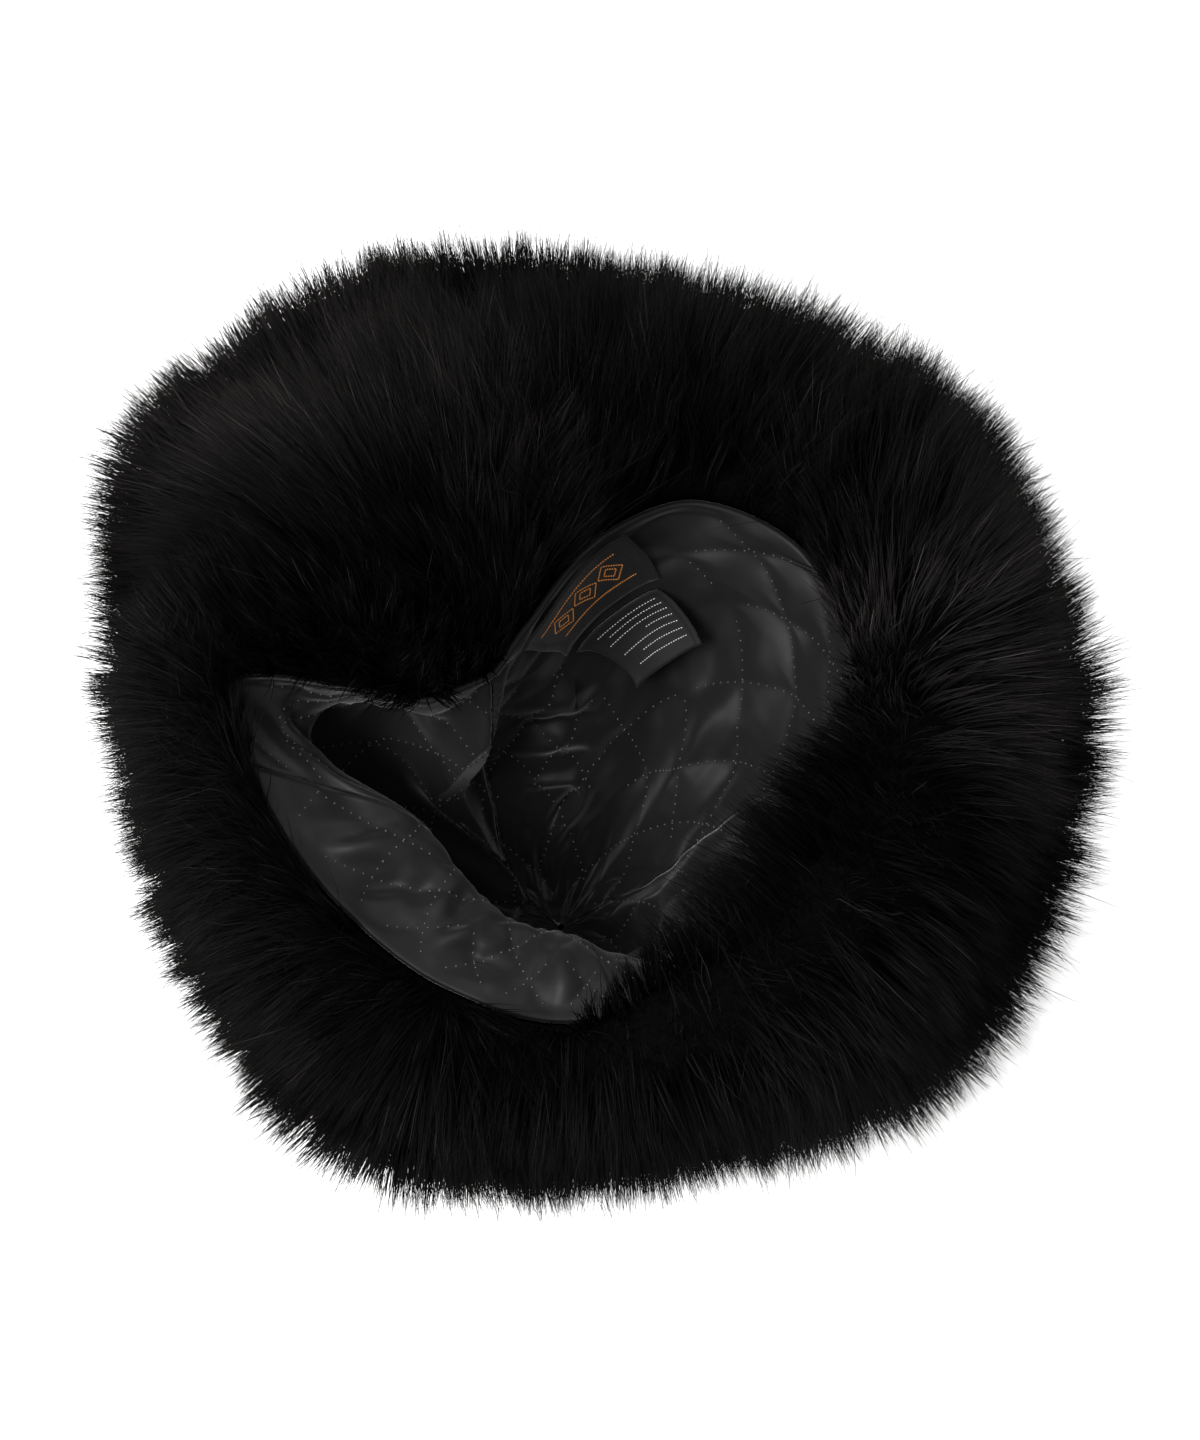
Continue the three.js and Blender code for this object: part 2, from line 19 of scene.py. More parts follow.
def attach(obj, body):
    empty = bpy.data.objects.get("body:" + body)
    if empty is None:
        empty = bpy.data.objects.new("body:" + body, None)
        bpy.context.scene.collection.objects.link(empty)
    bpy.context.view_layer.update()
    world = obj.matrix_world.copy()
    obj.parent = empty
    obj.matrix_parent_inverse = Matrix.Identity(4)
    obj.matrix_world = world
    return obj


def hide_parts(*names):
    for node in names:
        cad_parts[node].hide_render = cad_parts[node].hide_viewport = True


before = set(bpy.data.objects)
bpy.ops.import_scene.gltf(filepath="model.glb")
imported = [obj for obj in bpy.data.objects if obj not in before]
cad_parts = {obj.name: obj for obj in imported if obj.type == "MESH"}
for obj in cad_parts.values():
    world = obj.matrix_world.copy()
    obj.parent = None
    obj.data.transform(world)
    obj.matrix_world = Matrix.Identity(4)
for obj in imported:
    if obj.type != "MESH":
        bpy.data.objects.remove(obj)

started = time.time()
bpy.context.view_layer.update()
bpy.ops.object.select_all(action="DESELECT")
bpy.context.view_layer.objects.active = None
MM = 0.001
RANDOM_SEED = 11

# %% [markdown]
# ## Camera, light and floor
#
# The picture was taken from high up with a long lens, so the far wall of the hollow shows and the
# near wall hides. A camera can be aimed by a Track To constraint or by turning its own axes once. It
# is turned once here, because nothing moves. The floor is a plain pale sheet that glows a little, so
# that it stays white round the hat. The light is a large soft lamp above the hat and a smaller one to
# the left of the camera, in a white surround. Soft light from all round keeps black cloth readable
# without hard shadows, and the smaller lamp draws out the gloss of the satin.

# %% Camera
HAT_CENTRE = Vector((1.3, -2.2, 75)) * MM  # middle of the crown, at the height of the thickest fur
CAMERA_ELEVATION = math.radians(70)
CAMERA_DISTANCE = 1.2
LENS = 101.6
SENSOR = 36.0

camera_data = bpy.data.cameras.new("camera")
camera_data.lens = LENS
camera_data.sensor_width = SENSOR
camera = bpy.data.objects.new("camera", camera_data)
bpy.context.collection.objects.link(camera)
backwards = Vector((0, -math.cos(CAMERA_ELEVATION), math.sin(CAMERA_ELEVATION)))
camera.location = HAT_CENTRE + backwards * CAMERA_DISTANCE
camera.rotation_euler = backwards.to_track_quat("Z", "Y").to_euler()
bpy.context.scene.camera = camera
print("camera at", [round(v, 3) for v in camera.location])

# %% Floor
FLOOR_GAP = 0.4 * MM  # keeps the floor clear of the underside that lies on it
bpy.ops.mesh.primitive_plane_add(size=6)
floor = bpy.context.object
floor.name = "floor"
floor.location.z = -FLOOR_GAP
floor_material = bpy.data.materials.new("pale_floor")
floor_material.use_nodes = True
floor_shader = floor_material.node_tree.nodes["Principled BSDF"]
floor_shader.inputs["Base Color"].default_value = (0.93, 0.93, 0.93, 1)
floor_shader.inputs["Roughness"].default_value = 0.9
floor_shader.inputs["Emission Color"].default_value = (1, 1, 1, 1)
floor_shader.inputs["Emission Strength"].default_value = 0.5
floor.data.materials.append(floor_material)
bpy.ops.object.select_all(action="DESELECT")
print("floor placed")

# %% Light
def soft_lamp(name, place, size, power):
    """A square area lamp that looks at the hat."""
    lamp = bpy.data.lights.new(name, "AREA")
    lamp.size = size
    lamp.energy = power
    holder = bpy.data.objects.new(name, lamp)
    bpy.context.collection.objects.link(holder)
    holder.location = place
    holder.rotation_euler = (Vector(place) - HAT_CENTRE).to_track_quat("Z", "Y").to_euler()
    return holder


soft_lamp("overhead_left", (-0.35, 0.45, 1.7), 2.2, 12)
soft_lamp("left_of_camera", (-0.8, -0.5, 1.15), 0.7, 27)


def white_surround():
    """A white room that is brighter behind and above the hat than in front of it."""
    world = bpy.data.worlds.new("white_surround")
    world.use_nodes = True
    nodes, links = world.node_tree.nodes, world.node_tree.links
    direction = nodes.new("ShaderNodeTexCoord")
    towards = nodes.new("ShaderNodeVectorMath")
    towards.operation = "DOT_PRODUCT"
    towards.inputs[1].default_value = BRIGHT_SIDE
    levels = nodes.new("ShaderNodeMapRange")
    levels.inputs["From Min"].default_value = -0.4
    levels.inputs["From Max"].default_value = 1.0
    levels.inputs["To Min"].default_value = DIM_LEVEL
    levels.inputs["To Max"].default_value = BRIGHT_LEVEL
    links.new(direction.outputs["Generated"], towards.inputs[0])
    links.new(towards.outputs["Value"], levels.inputs["Value"])
    links.new(levels.outputs["Result"], nodes["Background"].inputs["Strength"])
    nodes["Background"].inputs["Color"].default_value = (1, 1, 1, 1)
    return world


BRIGHT_SIDE = (-0.25, 0.66, 0.7)
DIM_LEVEL = 0.7
BRIGHT_LEVEL = 1.1
bpy.context.scene.world = white_surround()
bpy.context.scene.view_settings.view_transform = "Standard"

# %% [markdown]
# ## The shape of the cloth
#
# The real hat is a bowl of cloth with fur on the outside, and a second, thinner bowl of satin inside
# it. Both are worked out from two short tables, a row for each section round the hat. Turn is the
# angle round the hollow, anticlockwise from the right. A curve runs down each section, and what lies
# between two rows is blended smoothly. Modelling this by pushing vertices would give the same
# surface, but the tables can be read, and the fur needs the surface's normal at every root.

# %% Sizes in millimetres
CROWN_RADIUS = 112
RIM_HEIGHT = 120
SIDE_HEIGHT = 72
TUCK_HEIGHT = 30
BASE_FUR = 9.5
LINING_WALL = 2.2
SEAM_GAP = 0.4
LINING_FLOOR = 15
WALL_HEIGHT = 60
LOW_HEIGHT = 27
LOW_RADIUS = 20
GATHER_RADIUS = 0.7  # the gores are drawn almost shut
FOLD_HEIGHT = 10
FLAP_FUR = 38
CROWN_FUR = 27
HOLLOW = np.array([-0.107, -0.411]) * CROWN_RADIUS
SHIFT = np.array([1.297, -2.219, 0.0])  # from the middle of the crown to the part's own origin
FULL_TURN = 360
print("crown is", 2 * CROWN_RADIUS, "mm across and its rim", RIM_HEIGHT, "mm high")

# %% Tables
# Turns and swings are in degrees. The other columns are shares of the crown's radius or the rim's height.
CROWN_COLUMNS = ("turn", "swing", "rim", "rise", "crest", "side", "stand")
CROWN_ROWS = [
    (0, -17, 0.705, 0.95, 1, 1.06, 1),
    (20, -17, 0.81, 0.96, 1.01, 1.05, 1),
    (38, -14, 0.908, 0.98, 1.02, 1.02, 1),
    (52, -10, 0.952, 1, 1.03, 1.035, 1),
    (66, -4, 0.92, 1.02, 1.04, 0.99, 1),
    (80, 4, 0.77, 1.02, 1.05, 1.01, 1),
    (97, 11, 0.526, 1, 1.06, 1.15, 1),
    (115, 13, 0.414, 0.99, 1.06, 1.24, 1),
    (135, 11, 0.443, 0.99, 1.06, 1.28, 1),
    (147, 12, 0.65, 0.97, 1.03, 1.11, 0.8),
    (156, 20, 0.91, 0.95, 0.97, 1.07, 0.5),
    (168, 22, 0.785, 0.9, 0.925, 1.02, 0.3),
    (185, 23, 0.644, 0.87, 0.895, 1.03, 0.25),
    (205, 21, 0.534, 0.85, 0.87, 1.06, 0.25),
    (225, 14, 0.48, 0.84, 0.86, 1.13, 0.25),
    (245, 6, 0.456, 0.84, 0.86, 1.07, 0.25),
    (265, -3, 0.463, 0.84, 0.86, 1.025, 0.3),
    (285, -11, 0.477, 0.86, 0.89, 1.01, 0.5),
    (305, -15, 0.515, 0.9, 0.94, 0.99, 0.8),
    (332, -17, 0.59, 0.93, 0.98, 1.07, 1),
]
LINING_COLUMNS = ("turn", "lip", "dip", "wall")
LINING_ROWS = [
    (0, 0.58, 0.75, 0.36),
    (20, 0.66, 0.77, 0.4),
    (38, 0.74, 0.8, 0.43),
    (52, 0.78, 0.82, 0.44),
    (66, 0.76, 0.84, 0.43),
    (80, 0.66, 0.82, 0.4),
    (97, 0.475, 0.8, 0.37),
    (115, 0.42, 0.78, 0.39),
    (135, 0.46, 0.75, 0.45),
    (147, 0.61, 0.75, 0.5),
    (156, 0.7, 0.84, 0.5),
    (168, 0.36, 0.8, 0.4),
    (185, 0.275, 0.78, 0.31),
    (205, 0.245, 0.77, 0.27),
    (225, 0.228, 0.77, 0.25),
    (245, 0.223, 0.77, 0.235),
    (265, 0.215, 0.77, 0.22),
    (285, 0.24, 0.77, 0.24),
    (305, 0.36, 0.76, 0.28),
    (332, 0.47, 0.75, 0.32),
]

print(len(CROWN_ROWS), "sections of the crown and", len(LINING_ROWS), "of the lining")

# %% Blending between the rows
def slopes(turns, values):
    """Slope at each row, level where the column turns back, so that curves never overshoot."""
    steps = np.diff(values) / np.diff(turns)
    before, after = steps[:-1], steps[1:]
    same = before * after > 0
    total = np.where(same, before + after, 1)
    return np.where(same, 2 * before * after / total, 0)


def around(rows, columns, name, turn):
    """Value of a named column at any turn, in degrees."""
    turns = np.array([row[0] for row in rows], float)
    values = np.array([row[columns.index(name)] for row in rows], float)
    turns = np.concatenate([turns[-2:] - FULL_TURN, turns, turns[:3] + FULL_TURN])
    values = np.concatenate([values[-2:], values, values[:3]])
    slope = slopes(turns, values)
    angle = np.mod(turn, FULL_TURN)
    index = np.searchsorted(turns, angle, side="right") - 1
    span = turns[index + 1] - turns[index]
    share = (angle - turns[index]) / span
    left = 1 - share
    return (
        values[index] * left**2 * (1 + 2 * share)
        + values[index + 1] * share**2 * (1 + 2 * left)
        + slope[index - 1] * span * share * left**2
        - slope[index] * span * share**2 * left
    )


def crown_column(name, turn):
    return around(CROWN_ROWS, CROWN_COLUMNS, name, turn)


def lining_column(name, turn):
    return around(LINING_ROWS, LINING_COLUMNS, name, turn)


def heading(turn):
    return np.stack([np.cos(np.radians(turn)), np.sin(np.radians(turn))], -1)


def from_hollow(turn, distance, height):
    """Point at a turn and distance from the middle of the hollow."""
    plan = heading(turn) * np.asarray(distance)[..., None] + HOLLOW
    return np.concatenate([plan, np.broadcast_to(height, plan.shape[:-1])[..., None]], -1)


def from_crown(turn, distance, height):
    """Point at a turn and distance from the middle of the crown."""
    plan = heading(turn + crown_column("swing", turn)) * np.asarray(distance)[..., None]
    return np.concatenate([plan, np.broadcast_to(height, plan.shape[:-1])[..., None]], -1)


print("rim in front is", round(float(crown_column("rim", 250) * CROWN_RADIUS), 1), "mm from the middle")

# %% Curves down the sections
def smooth_curve(knots, way):
    """Points on centripetal Catmull-Rom curves, knots (n, k, 3), at ways 0 to 1 (m,), as (n, m, 3)."""
    first = 2 * knots[:, :1] - knots[:, 1:2]
    last = 2 * knots[:, -1:] - knots[:, -2:-1]
    padded = np.concatenate([first, knots, last], 1)
    place = way * (knots.shape[1] - 1)
    index = np.clip(place.astype(int), 0, knots.shape[1] - 2)
    share = (place - index)[None, :, None]
    a, b, c, d = (padded[:, index + k] for k in range(4))
    before, middle, after = (
        np.maximum(np.linalg.norm(q - p, axis=-1, keepdims=True), 1e-6) ** 0.5
        for p, q in ((a, b), (b, c), (c, d))
    )
    start = ((b - a) / before - (c - a) / (before + middle) + (c - b) / middle) * middle
    end = ((c - b) / middle - (d - b) / (middle + after) + (d - c) / after) * middle
    square = -3 * b + 3 * c - 2 * start - end
    cube = 2 * b - 2 * c + start + end
    return b + share * (start + share * (square + share * cube))


def rim_point(turn):
    distance = crown_column("rim", turn) * CROWN_RADIUS
    return from_hollow(turn, distance, crown_column("rise", turn) * RIM_HEIGHT)


def crown_knots(turn):
    """Rim, brow, shoulder, widest line, tuck, edge of the base and middle of the base."""
    along = rim_point(turn + 1) - rim_point(turn - 1)
    outwards = np.stack([along[:, 1], -along[:, 0], 0 * turn], -1)
    outwards /= np.linalg.norm(outwards, axis=-1, keepdims=True)
    rim = rim_point(turn) + outwards * (LINING_WALL + SEAM_GAP)
    side = crown_column("side", turn) * CROWN_RADIUS
    crest = crown_column("crest", turn) * RIM_HEIGHT
    widest = from_crown(turn, side, SIDE_HEIGHT)
    brow = rim + (widest - rim) * 0.35
    brow[:, 2] = crest
    shoulder = rim + (widest - rim) * 0.82
    shoulder[:, 2] = crest + (SIDE_HEIGHT - crest) * 0.82
    tuck = from_crown(turn, side * 0.9, TUCK_HEIGHT)
    base = from_crown(turn, side * 0.66, 0)
    return np.stack([rim, brow, shoulder, widest, tuck, base, 0 * base], 1)


def lining_knots(turn):
    """Rim, lip, wall, low wall and gathered point."""
    lip_distance = lining_column("lip", turn) * CROWN_RADIUS
    lip = from_hollow(turn, lip_distance, lining_column("dip", turn) * RIM_HEIGHT)
    wall = from_hollow(turn, lining_column("wall", turn) * CROWN_RADIUS, WALL_HEIGHT)
    low = from_hollow(turn, LOW_RADIUS + 0 * turn, LOW_HEIGHT)
    gather = from_hollow(turn, GATHER_RADIUS + 0 * turn, LINING_FLOOR + LINING_WALL)
    return np.stack([rim_point(turn), lip, wall, low, gather], 1)


rim_behind = rim_point(np.array([90.0]))[0]
print("the rim behind is at", [round(float(v)) for v in rim_behind])

# %% Surfaces that can be asked for a point and its directions
TURN_STEP = 0.5


class Surface:
    """A surface kept as a fine grid of points over turn and way, with its directions at each."""

    def __init__(self, points, way_end):
        self.points = points
        self.way_end = way_end
        self.rows = points.shape[1] - 1
        around_it = np.roll(points, -1, 0) - np.roll(points, 1, 0)
        ahead = np.gradient(points, axis=1)
        normal = np.cross(ahead, around_it)
        self.ahead = self.unit(ahead)
        self.normal = self.unit(normal)

    @staticmethod
    def unit(vectors):
        return vectors / np.maximum(np.linalg.norm(vectors, axis=-1, keepdims=True), 1e-9)

    def look_up(self, grid, turn, way):
        count = grid.shape[0]
        column = np.mod(turn, FULL_TURN) / TURN_STEP
        row = np.clip(way / self.way_end, 0, 1) * self.rows
        i = np.floor(column).astype(int)
        j = np.minimum(np.floor(row).astype(int), self.rows - 1)
        p, q = (column - i)[..., None], (row - j)[..., None]
        i, after = i % count, (i + 1) % count
        low = grid[i, j] * (1 - q) + grid[i, j + 1] * q
        high = grid[after, j] * (1 - q) + grid[after, j + 1] * q
        return low * (1 - p) + high * p

    def at(self, turn, way):
        return self.look_up(self.points, turn, way)

    def normal_at(self, turn, way):
        return self.unit(self.look_up(self.normal, turn, way))

    def ahead_at(self, turn, way):
        return self.unit(self.look_up(self.ahead, turn, way))


fine_turns = np.arange(0, FULL_TURN, TURN_STEP)
crown_points = smooth_curve(crown_knots(fine_turns), np.linspace(0, 1, 181))
crown_points[..., 2] = np.maximum(crown_points[..., 2], BASE_FUR)
crown_cloth = Surface(crown_points, 6)
lining_plain = Surface(smooth_curve(lining_knots(fine_turns), np.linspace(0, 1, 161)), 1)
print("crown height", round(float(crown_points[..., 2].max())), "mm")

# %% [markdown]
# ## Finishes
#
# The fur is almost black. What can be seen of it is the gloss on each hair, and a warmer grey-brown where
# thin tips stand against the light. Hair could be given its own hair shader, but a Principled shader with a
# low base colour behaves much alike here and can be baked. Each strand carries its own tone, its place from
# root to tip and its painted light and shade as attributes, and one node group turns them into a colour. The
# near black is the fur's own colour. It is darker at the root as painted shade deep in the pile, and warmer
# and lighter at the tip as painted light through the thin tips.

# %% Fur colour
def new_group(name, inputs, outputs):
    """A shader node group with named sockets, each given as (name, type, default)."""
    group = bpy.data.node_groups.new(name, "ShaderNodeTree")
    for label, kind, default in inputs:
        socket = group.interface.new_socket(label, in_out="INPUT", socket_type=kind)
        socket.default_value = default
    for label, kind in outputs:
        group.interface.new_socket(label, in_out="OUTPUT", socket_type=kind)
    entry = group.nodes.new("NodeGroupInput")
    leave = group.nodes.new("NodeGroupOutput")
    return group, entry, leave


def math_node(nodes, links, operation, first, second):
    """A Math node fed by sockets or plain numbers."""
    node = nodes.new("ShaderNodeMath")
    node.operation = operation
    for socket, value in zip(node.inputs, (first, second)):
        if isinstance(value, (int, float)):
            socket.default_value = value
        else:
            links.new(value, socket)
    return node.outputs[0]


def hair_colour_group():
    group, entry, leave = new_group(
        "hair_colour",
        [
            ("Root", "NodeSocketColor", (0.0012, 0.0012, 0.0012, 1)),
            ("Middle", "NodeSocketColor", (0.0042, 0.004, 0.0041, 1)),
            ("Tip", "NodeSocketColor", (0.02, 0.0175, 0.0165, 1)),
        ],
        [("Color", "NodeSocketColor"), ("Roughness", "NodeSocketFloat")],
    )
    nodes, links = group.nodes, group.links
    along = nodes.new("ShaderNodeAttribute")
    along.attribute_name = "along"
    tone = nodes.new("ShaderNodeAttribute")
    tone.attribute_name = "tone"
    # Darker at the root is painted shade deep in the pile, and the warm lighter tip is painted light through
    # thin tips
    lower = nodes.new("ShaderNodeMix")
    lower.data_type = "RGBA"
    upper = nodes.new("ShaderNodeMix")
    upper.data_type = "RGBA"
    half = math_node(nodes, links, "MULTIPLY", along.outputs["Fac"], 2.0)
    links.new(half, lower.inputs["Factor"])
    links.new(entry.outputs["Root"], lower.inputs["A"])
    links.new(entry.outputs["Middle"], lower.inputs["B"])
    end = math_node(nodes, links, "POWER", along.outputs["Fac"], 3.0)
    warm = math_node(nodes, links, "MULTIPLY", end, tone.outputs["Fac"])
    links.new(warm, upper.inputs["Factor"])
    links.new(lower.outputs["Result"], upper.inputs["A"])
    links.new(entry.outputs["Tip"], upper.inputs["B"])
    rough = math_node(nodes, links, "MULTIPLY_ADD", tone.outputs["Fac"], 0.2)
    rough.node.inputs[2].default_value = 0.4
    # Each hair's painted light and shade, with its random mottle, scales its colour
    mottle_and_painted_light = nodes.new("ShaderNodeAttribute")
    mottle_and_painted_light.attribute_name = "mottle_and_painted_light"
    scaled = nodes.new("ShaderNodeVectorMath")
    scaled.operation = "SCALE"
    links.new(upper.outputs["Result"], scaled.inputs[0])
    links.new(mottle_and_painted_light.outputs["Fac"], scaled.inputs["Scale"])
    links.new(scaled.outputs["Vector"], leave.inputs["Color"])
    links.new(rough, leave.inputs["Roughness"])
    return group


hair_colour = hair_colour_group()


def new_material(name, roughness=0.5, specular=0.5, sheen=0.0):
    """A material with its plain constants set on the shader's own sockets."""
    material = bpy.data.materials.new(name)
    material.use_nodes = True
    shader = material.node_tree.nodes["Principled BSDF"]
    shader.inputs["Roughness"].default_value = roughness
    shader.inputs["Specular IOR Level"].default_value = specular
    shader.inputs["Sheen Weight"].default_value = sheen
    shader.inputs["Sheen Roughness"].default_value = 0.4
    return material, material.node_tree.nodes, material.node_tree.links, shader


def fur_material():
    material, nodes, links, shader = new_material("deep_pile_fur", specular=0.02)
    colour = nodes.new("ShaderNodeGroup")
    colour.node_tree = hair_colour
    links.new(colour.outputs["Color"], shader.inputs["Base Color"])
    links.new(colour.outputs["Roughness"], shader.inputs["Roughness"])
    return material


fur_finish = fur_material()
print("finishes:", [m.name for m in bpy.data.materials])

# %% [markdown]
# The lining is satin quilted to thin wadding. Satin has long floating threads, so it shines more
# along one direction, and the wadding under it makes it pucker. The threads are far too fine to
# model, so a stretched noise makes them as a bump, and a softer noise makes the small rumples that
# are smaller than the modelled folds. The labels use the same weave group with other values.

# %% Satin and label cloth
def cloth_group():
    """Small rumples and a directional weave, as a height and a slight change of colour."""
    group, entry, leave = new_group(
        "woven_cloth",
        [
            ("Color", "NodeSocketColor", (0.02, 0.02, 0.02, 1)),
            ("Thread Scale", "NodeSocketFloat", 2500.0),
            ("Thread Height", "NodeSocketFloat", 0.15),
            ("Rumple Scale", "NodeSocketFloat", 160.0),
            ("Rumple Height", "NodeSocketFloat", 1.0),
        ],
        [("Color", "NodeSocketColor"), ("Height", "NodeSocketFloat"), ("Roughness", "NodeSocketFloat")],
    )
    nodes, links = group.nodes, group.links
    place = nodes.new("ShaderNodeTexCoord")
    stretch = nodes.new("ShaderNodeMapping")
    stretch.inputs["Scale"].default_value = (1.0, 0.12, 1.0)
    links.new(place.outputs["UV"], stretch.inputs["Vector"])
    threads = nodes.new("ShaderNodeTexNoise")
    threads.inputs["Detail"].default_value = 2.0
    links.new(stretch.outputs["Vector"], threads.inputs["Vector"])
    links.new(entry.outputs["Thread Scale"], threads.inputs["Scale"])
    rumples = nodes.new("ShaderNodeTexNoise")
    rumples.inputs["Detail"].default_value = 3.0
    rumples.inputs["Roughness"].default_value = 0.45
    links.new(place.outputs["Object"], rumples.inputs["Vector"])
    links.new(entry.outputs["Rumple Scale"], rumples.inputs["Scale"])
    fine = math_node(nodes, links, "MULTIPLY", threads.outputs["Fac"], entry.outputs["Thread Height"])
    coarse = math_node(nodes, links, "MULTIPLY", rumples.outputs["Fac"], entry.outputs["Rumple Height"])
    height = math_node(nodes, links, "ADD", fine, coarse)
    links.new(height, leave.inputs["Height"])
    shade = nodes.new("ShaderNodeMix")
    shade.data_type = "RGBA"
    shade.blend_type = "MULTIPLY"
    shade.inputs["Factor"].default_value = 0.5
    links.new(entry.outputs["Color"], shade.inputs["A"])
    links.new(threads.outputs["Color"], shade.inputs["B"])
    links.new(shade.outputs["Result"], leave.inputs["Color"])
    rough = math_node(nodes, links, "MULTIPLY_ADD", rumples.outputs["Fac"], 0.2)
    rough.node.inputs[2].default_value = 0.34
    links.new(rough, leave.inputs["Roughness"])
    return group


woven_cloth = cloth_group()


def cloth_material(name, colour, roughness=None, rumple=1.0, thread=0.15, specular=0.5, bump=0.35):
    material, nodes, links, shader = new_material(name, specular=specular, sheen=0.15)
    cloth = nodes.new("ShaderNodeGroup")
    cloth.node_tree = woven_cloth
    cloth.inputs["Color"].default_value = (*colour, 1)
    cloth.inputs["Rumple Height"].default_value = rumple
    cloth.inputs["Thread Height"].default_value = thread
    relief = nodes.new("ShaderNodeBump")
    relief.inputs["Strength"].default_value = bump
    relief.inputs["Distance"].default_value = 0.4 * MM
    links.new(cloth.outputs["Height"], relief.inputs["Height"])
    links.new(relief.outputs["Normal"], shader.inputs["Normal"])
    links.new(cloth.outputs["Color"], shader.inputs["Base Color"])
    if roughness is None:
        links.new(cloth.outputs["Roughness"], shader.inputs["Roughness"])
    else:
        shader.inputs["Roughness"].default_value = roughness
    return material


satin_finish = cloth_material(
    "lining_satin", (0.0095, 0.0091, 0.0096), rumple=0.5, thread=0.1, specular=0.12
)
woven_finish = cloth_material(
    "damask_label", (0.006, 0.006, 0.0065), roughness=0.62, rumple=0.2, thread=0.8, specular=0.2
)
ribbon_finish = cloth_material(
    "care_ribbon", (0.009, 0.009, 0.0095), roughness=0.58, rumple=0.3, thread=0.3, specular=0.12
)
print("cloth finishes ready")

# %% [markdown]
# ## The lining
#
# Four gores of satin run from the rim to the point where they are gathered. Each is made here from a
# grid primitive: the grid is cut finely, every vertex is laid on the lining's surface, and Solidify
# gives the wall. The folds of the real lining are moves of that surface towards the hollow or away
# from it: broad rolls first, then creases drawn as lines from place to place, then the small puckers
# of the one seam whose thread is drawn tight. A cloth simulation would make other folds each time,
# and these have to be where they are on this hat.

# %% Broad folds
FOLD_COLUMNS = ("turn", "drift", "start", "end", "width", "lift")
FOLD_ROWS = [
    (112, 46, 0.04, 0.85, 12, 2.0),
    (136, 40, 0.08, 0.85, 13, -1.7),
    (86, 4, 0.32, 0.52, 14, 0.4),
    (58, 0, 0.2, 0.95, 14, -0.8),
    (350, 10, 0.4, 0.95, 22, 0.5),
    (180, 4, 0.0, 0.24, 9, 0.15),
    (200, 4, 0.02, 0.24, 9, -0.15),
    (224, 2, 0.0, 0.24, 10, 0.2),
    (250, 0, 0.02, 0.24, 10, -0.15),
    (272, 0, 0.0, 0.24, 10, 0.25),
]


def angle_apart(first, second):
    return np.mod(first - second + FULL_TURN / 2, FULL_TURN) - FULL_TURN / 2


def hump(distance, width):
    """1 in the middle of a fold and 0 a width away from it."""
    return np.where(np.abs(distance) < width, np.cos(distance / width * math.pi / 2) ** 2, 0)


def broad_folds(turn, share):
    height = np.zeros(np.broadcast(turn, share).shape)
    for row in FOLD_ROWS:
        fold = dict(zip(FOLD_COLUMNS, row))
        middle, half = (fold["start"] + fold["end"]) / 2, (fold["end"] - fold["start"]) / 2
        across = hump(angle_apart(turn, fold["turn"] + fold["drift"] * share), fold["width"])
        height += fold["lift"] * FOLD_HEIGHT * across * np.sqrt(hump(share - middle, half))
    return height


print(len(FOLD_ROWS), "broad folds")

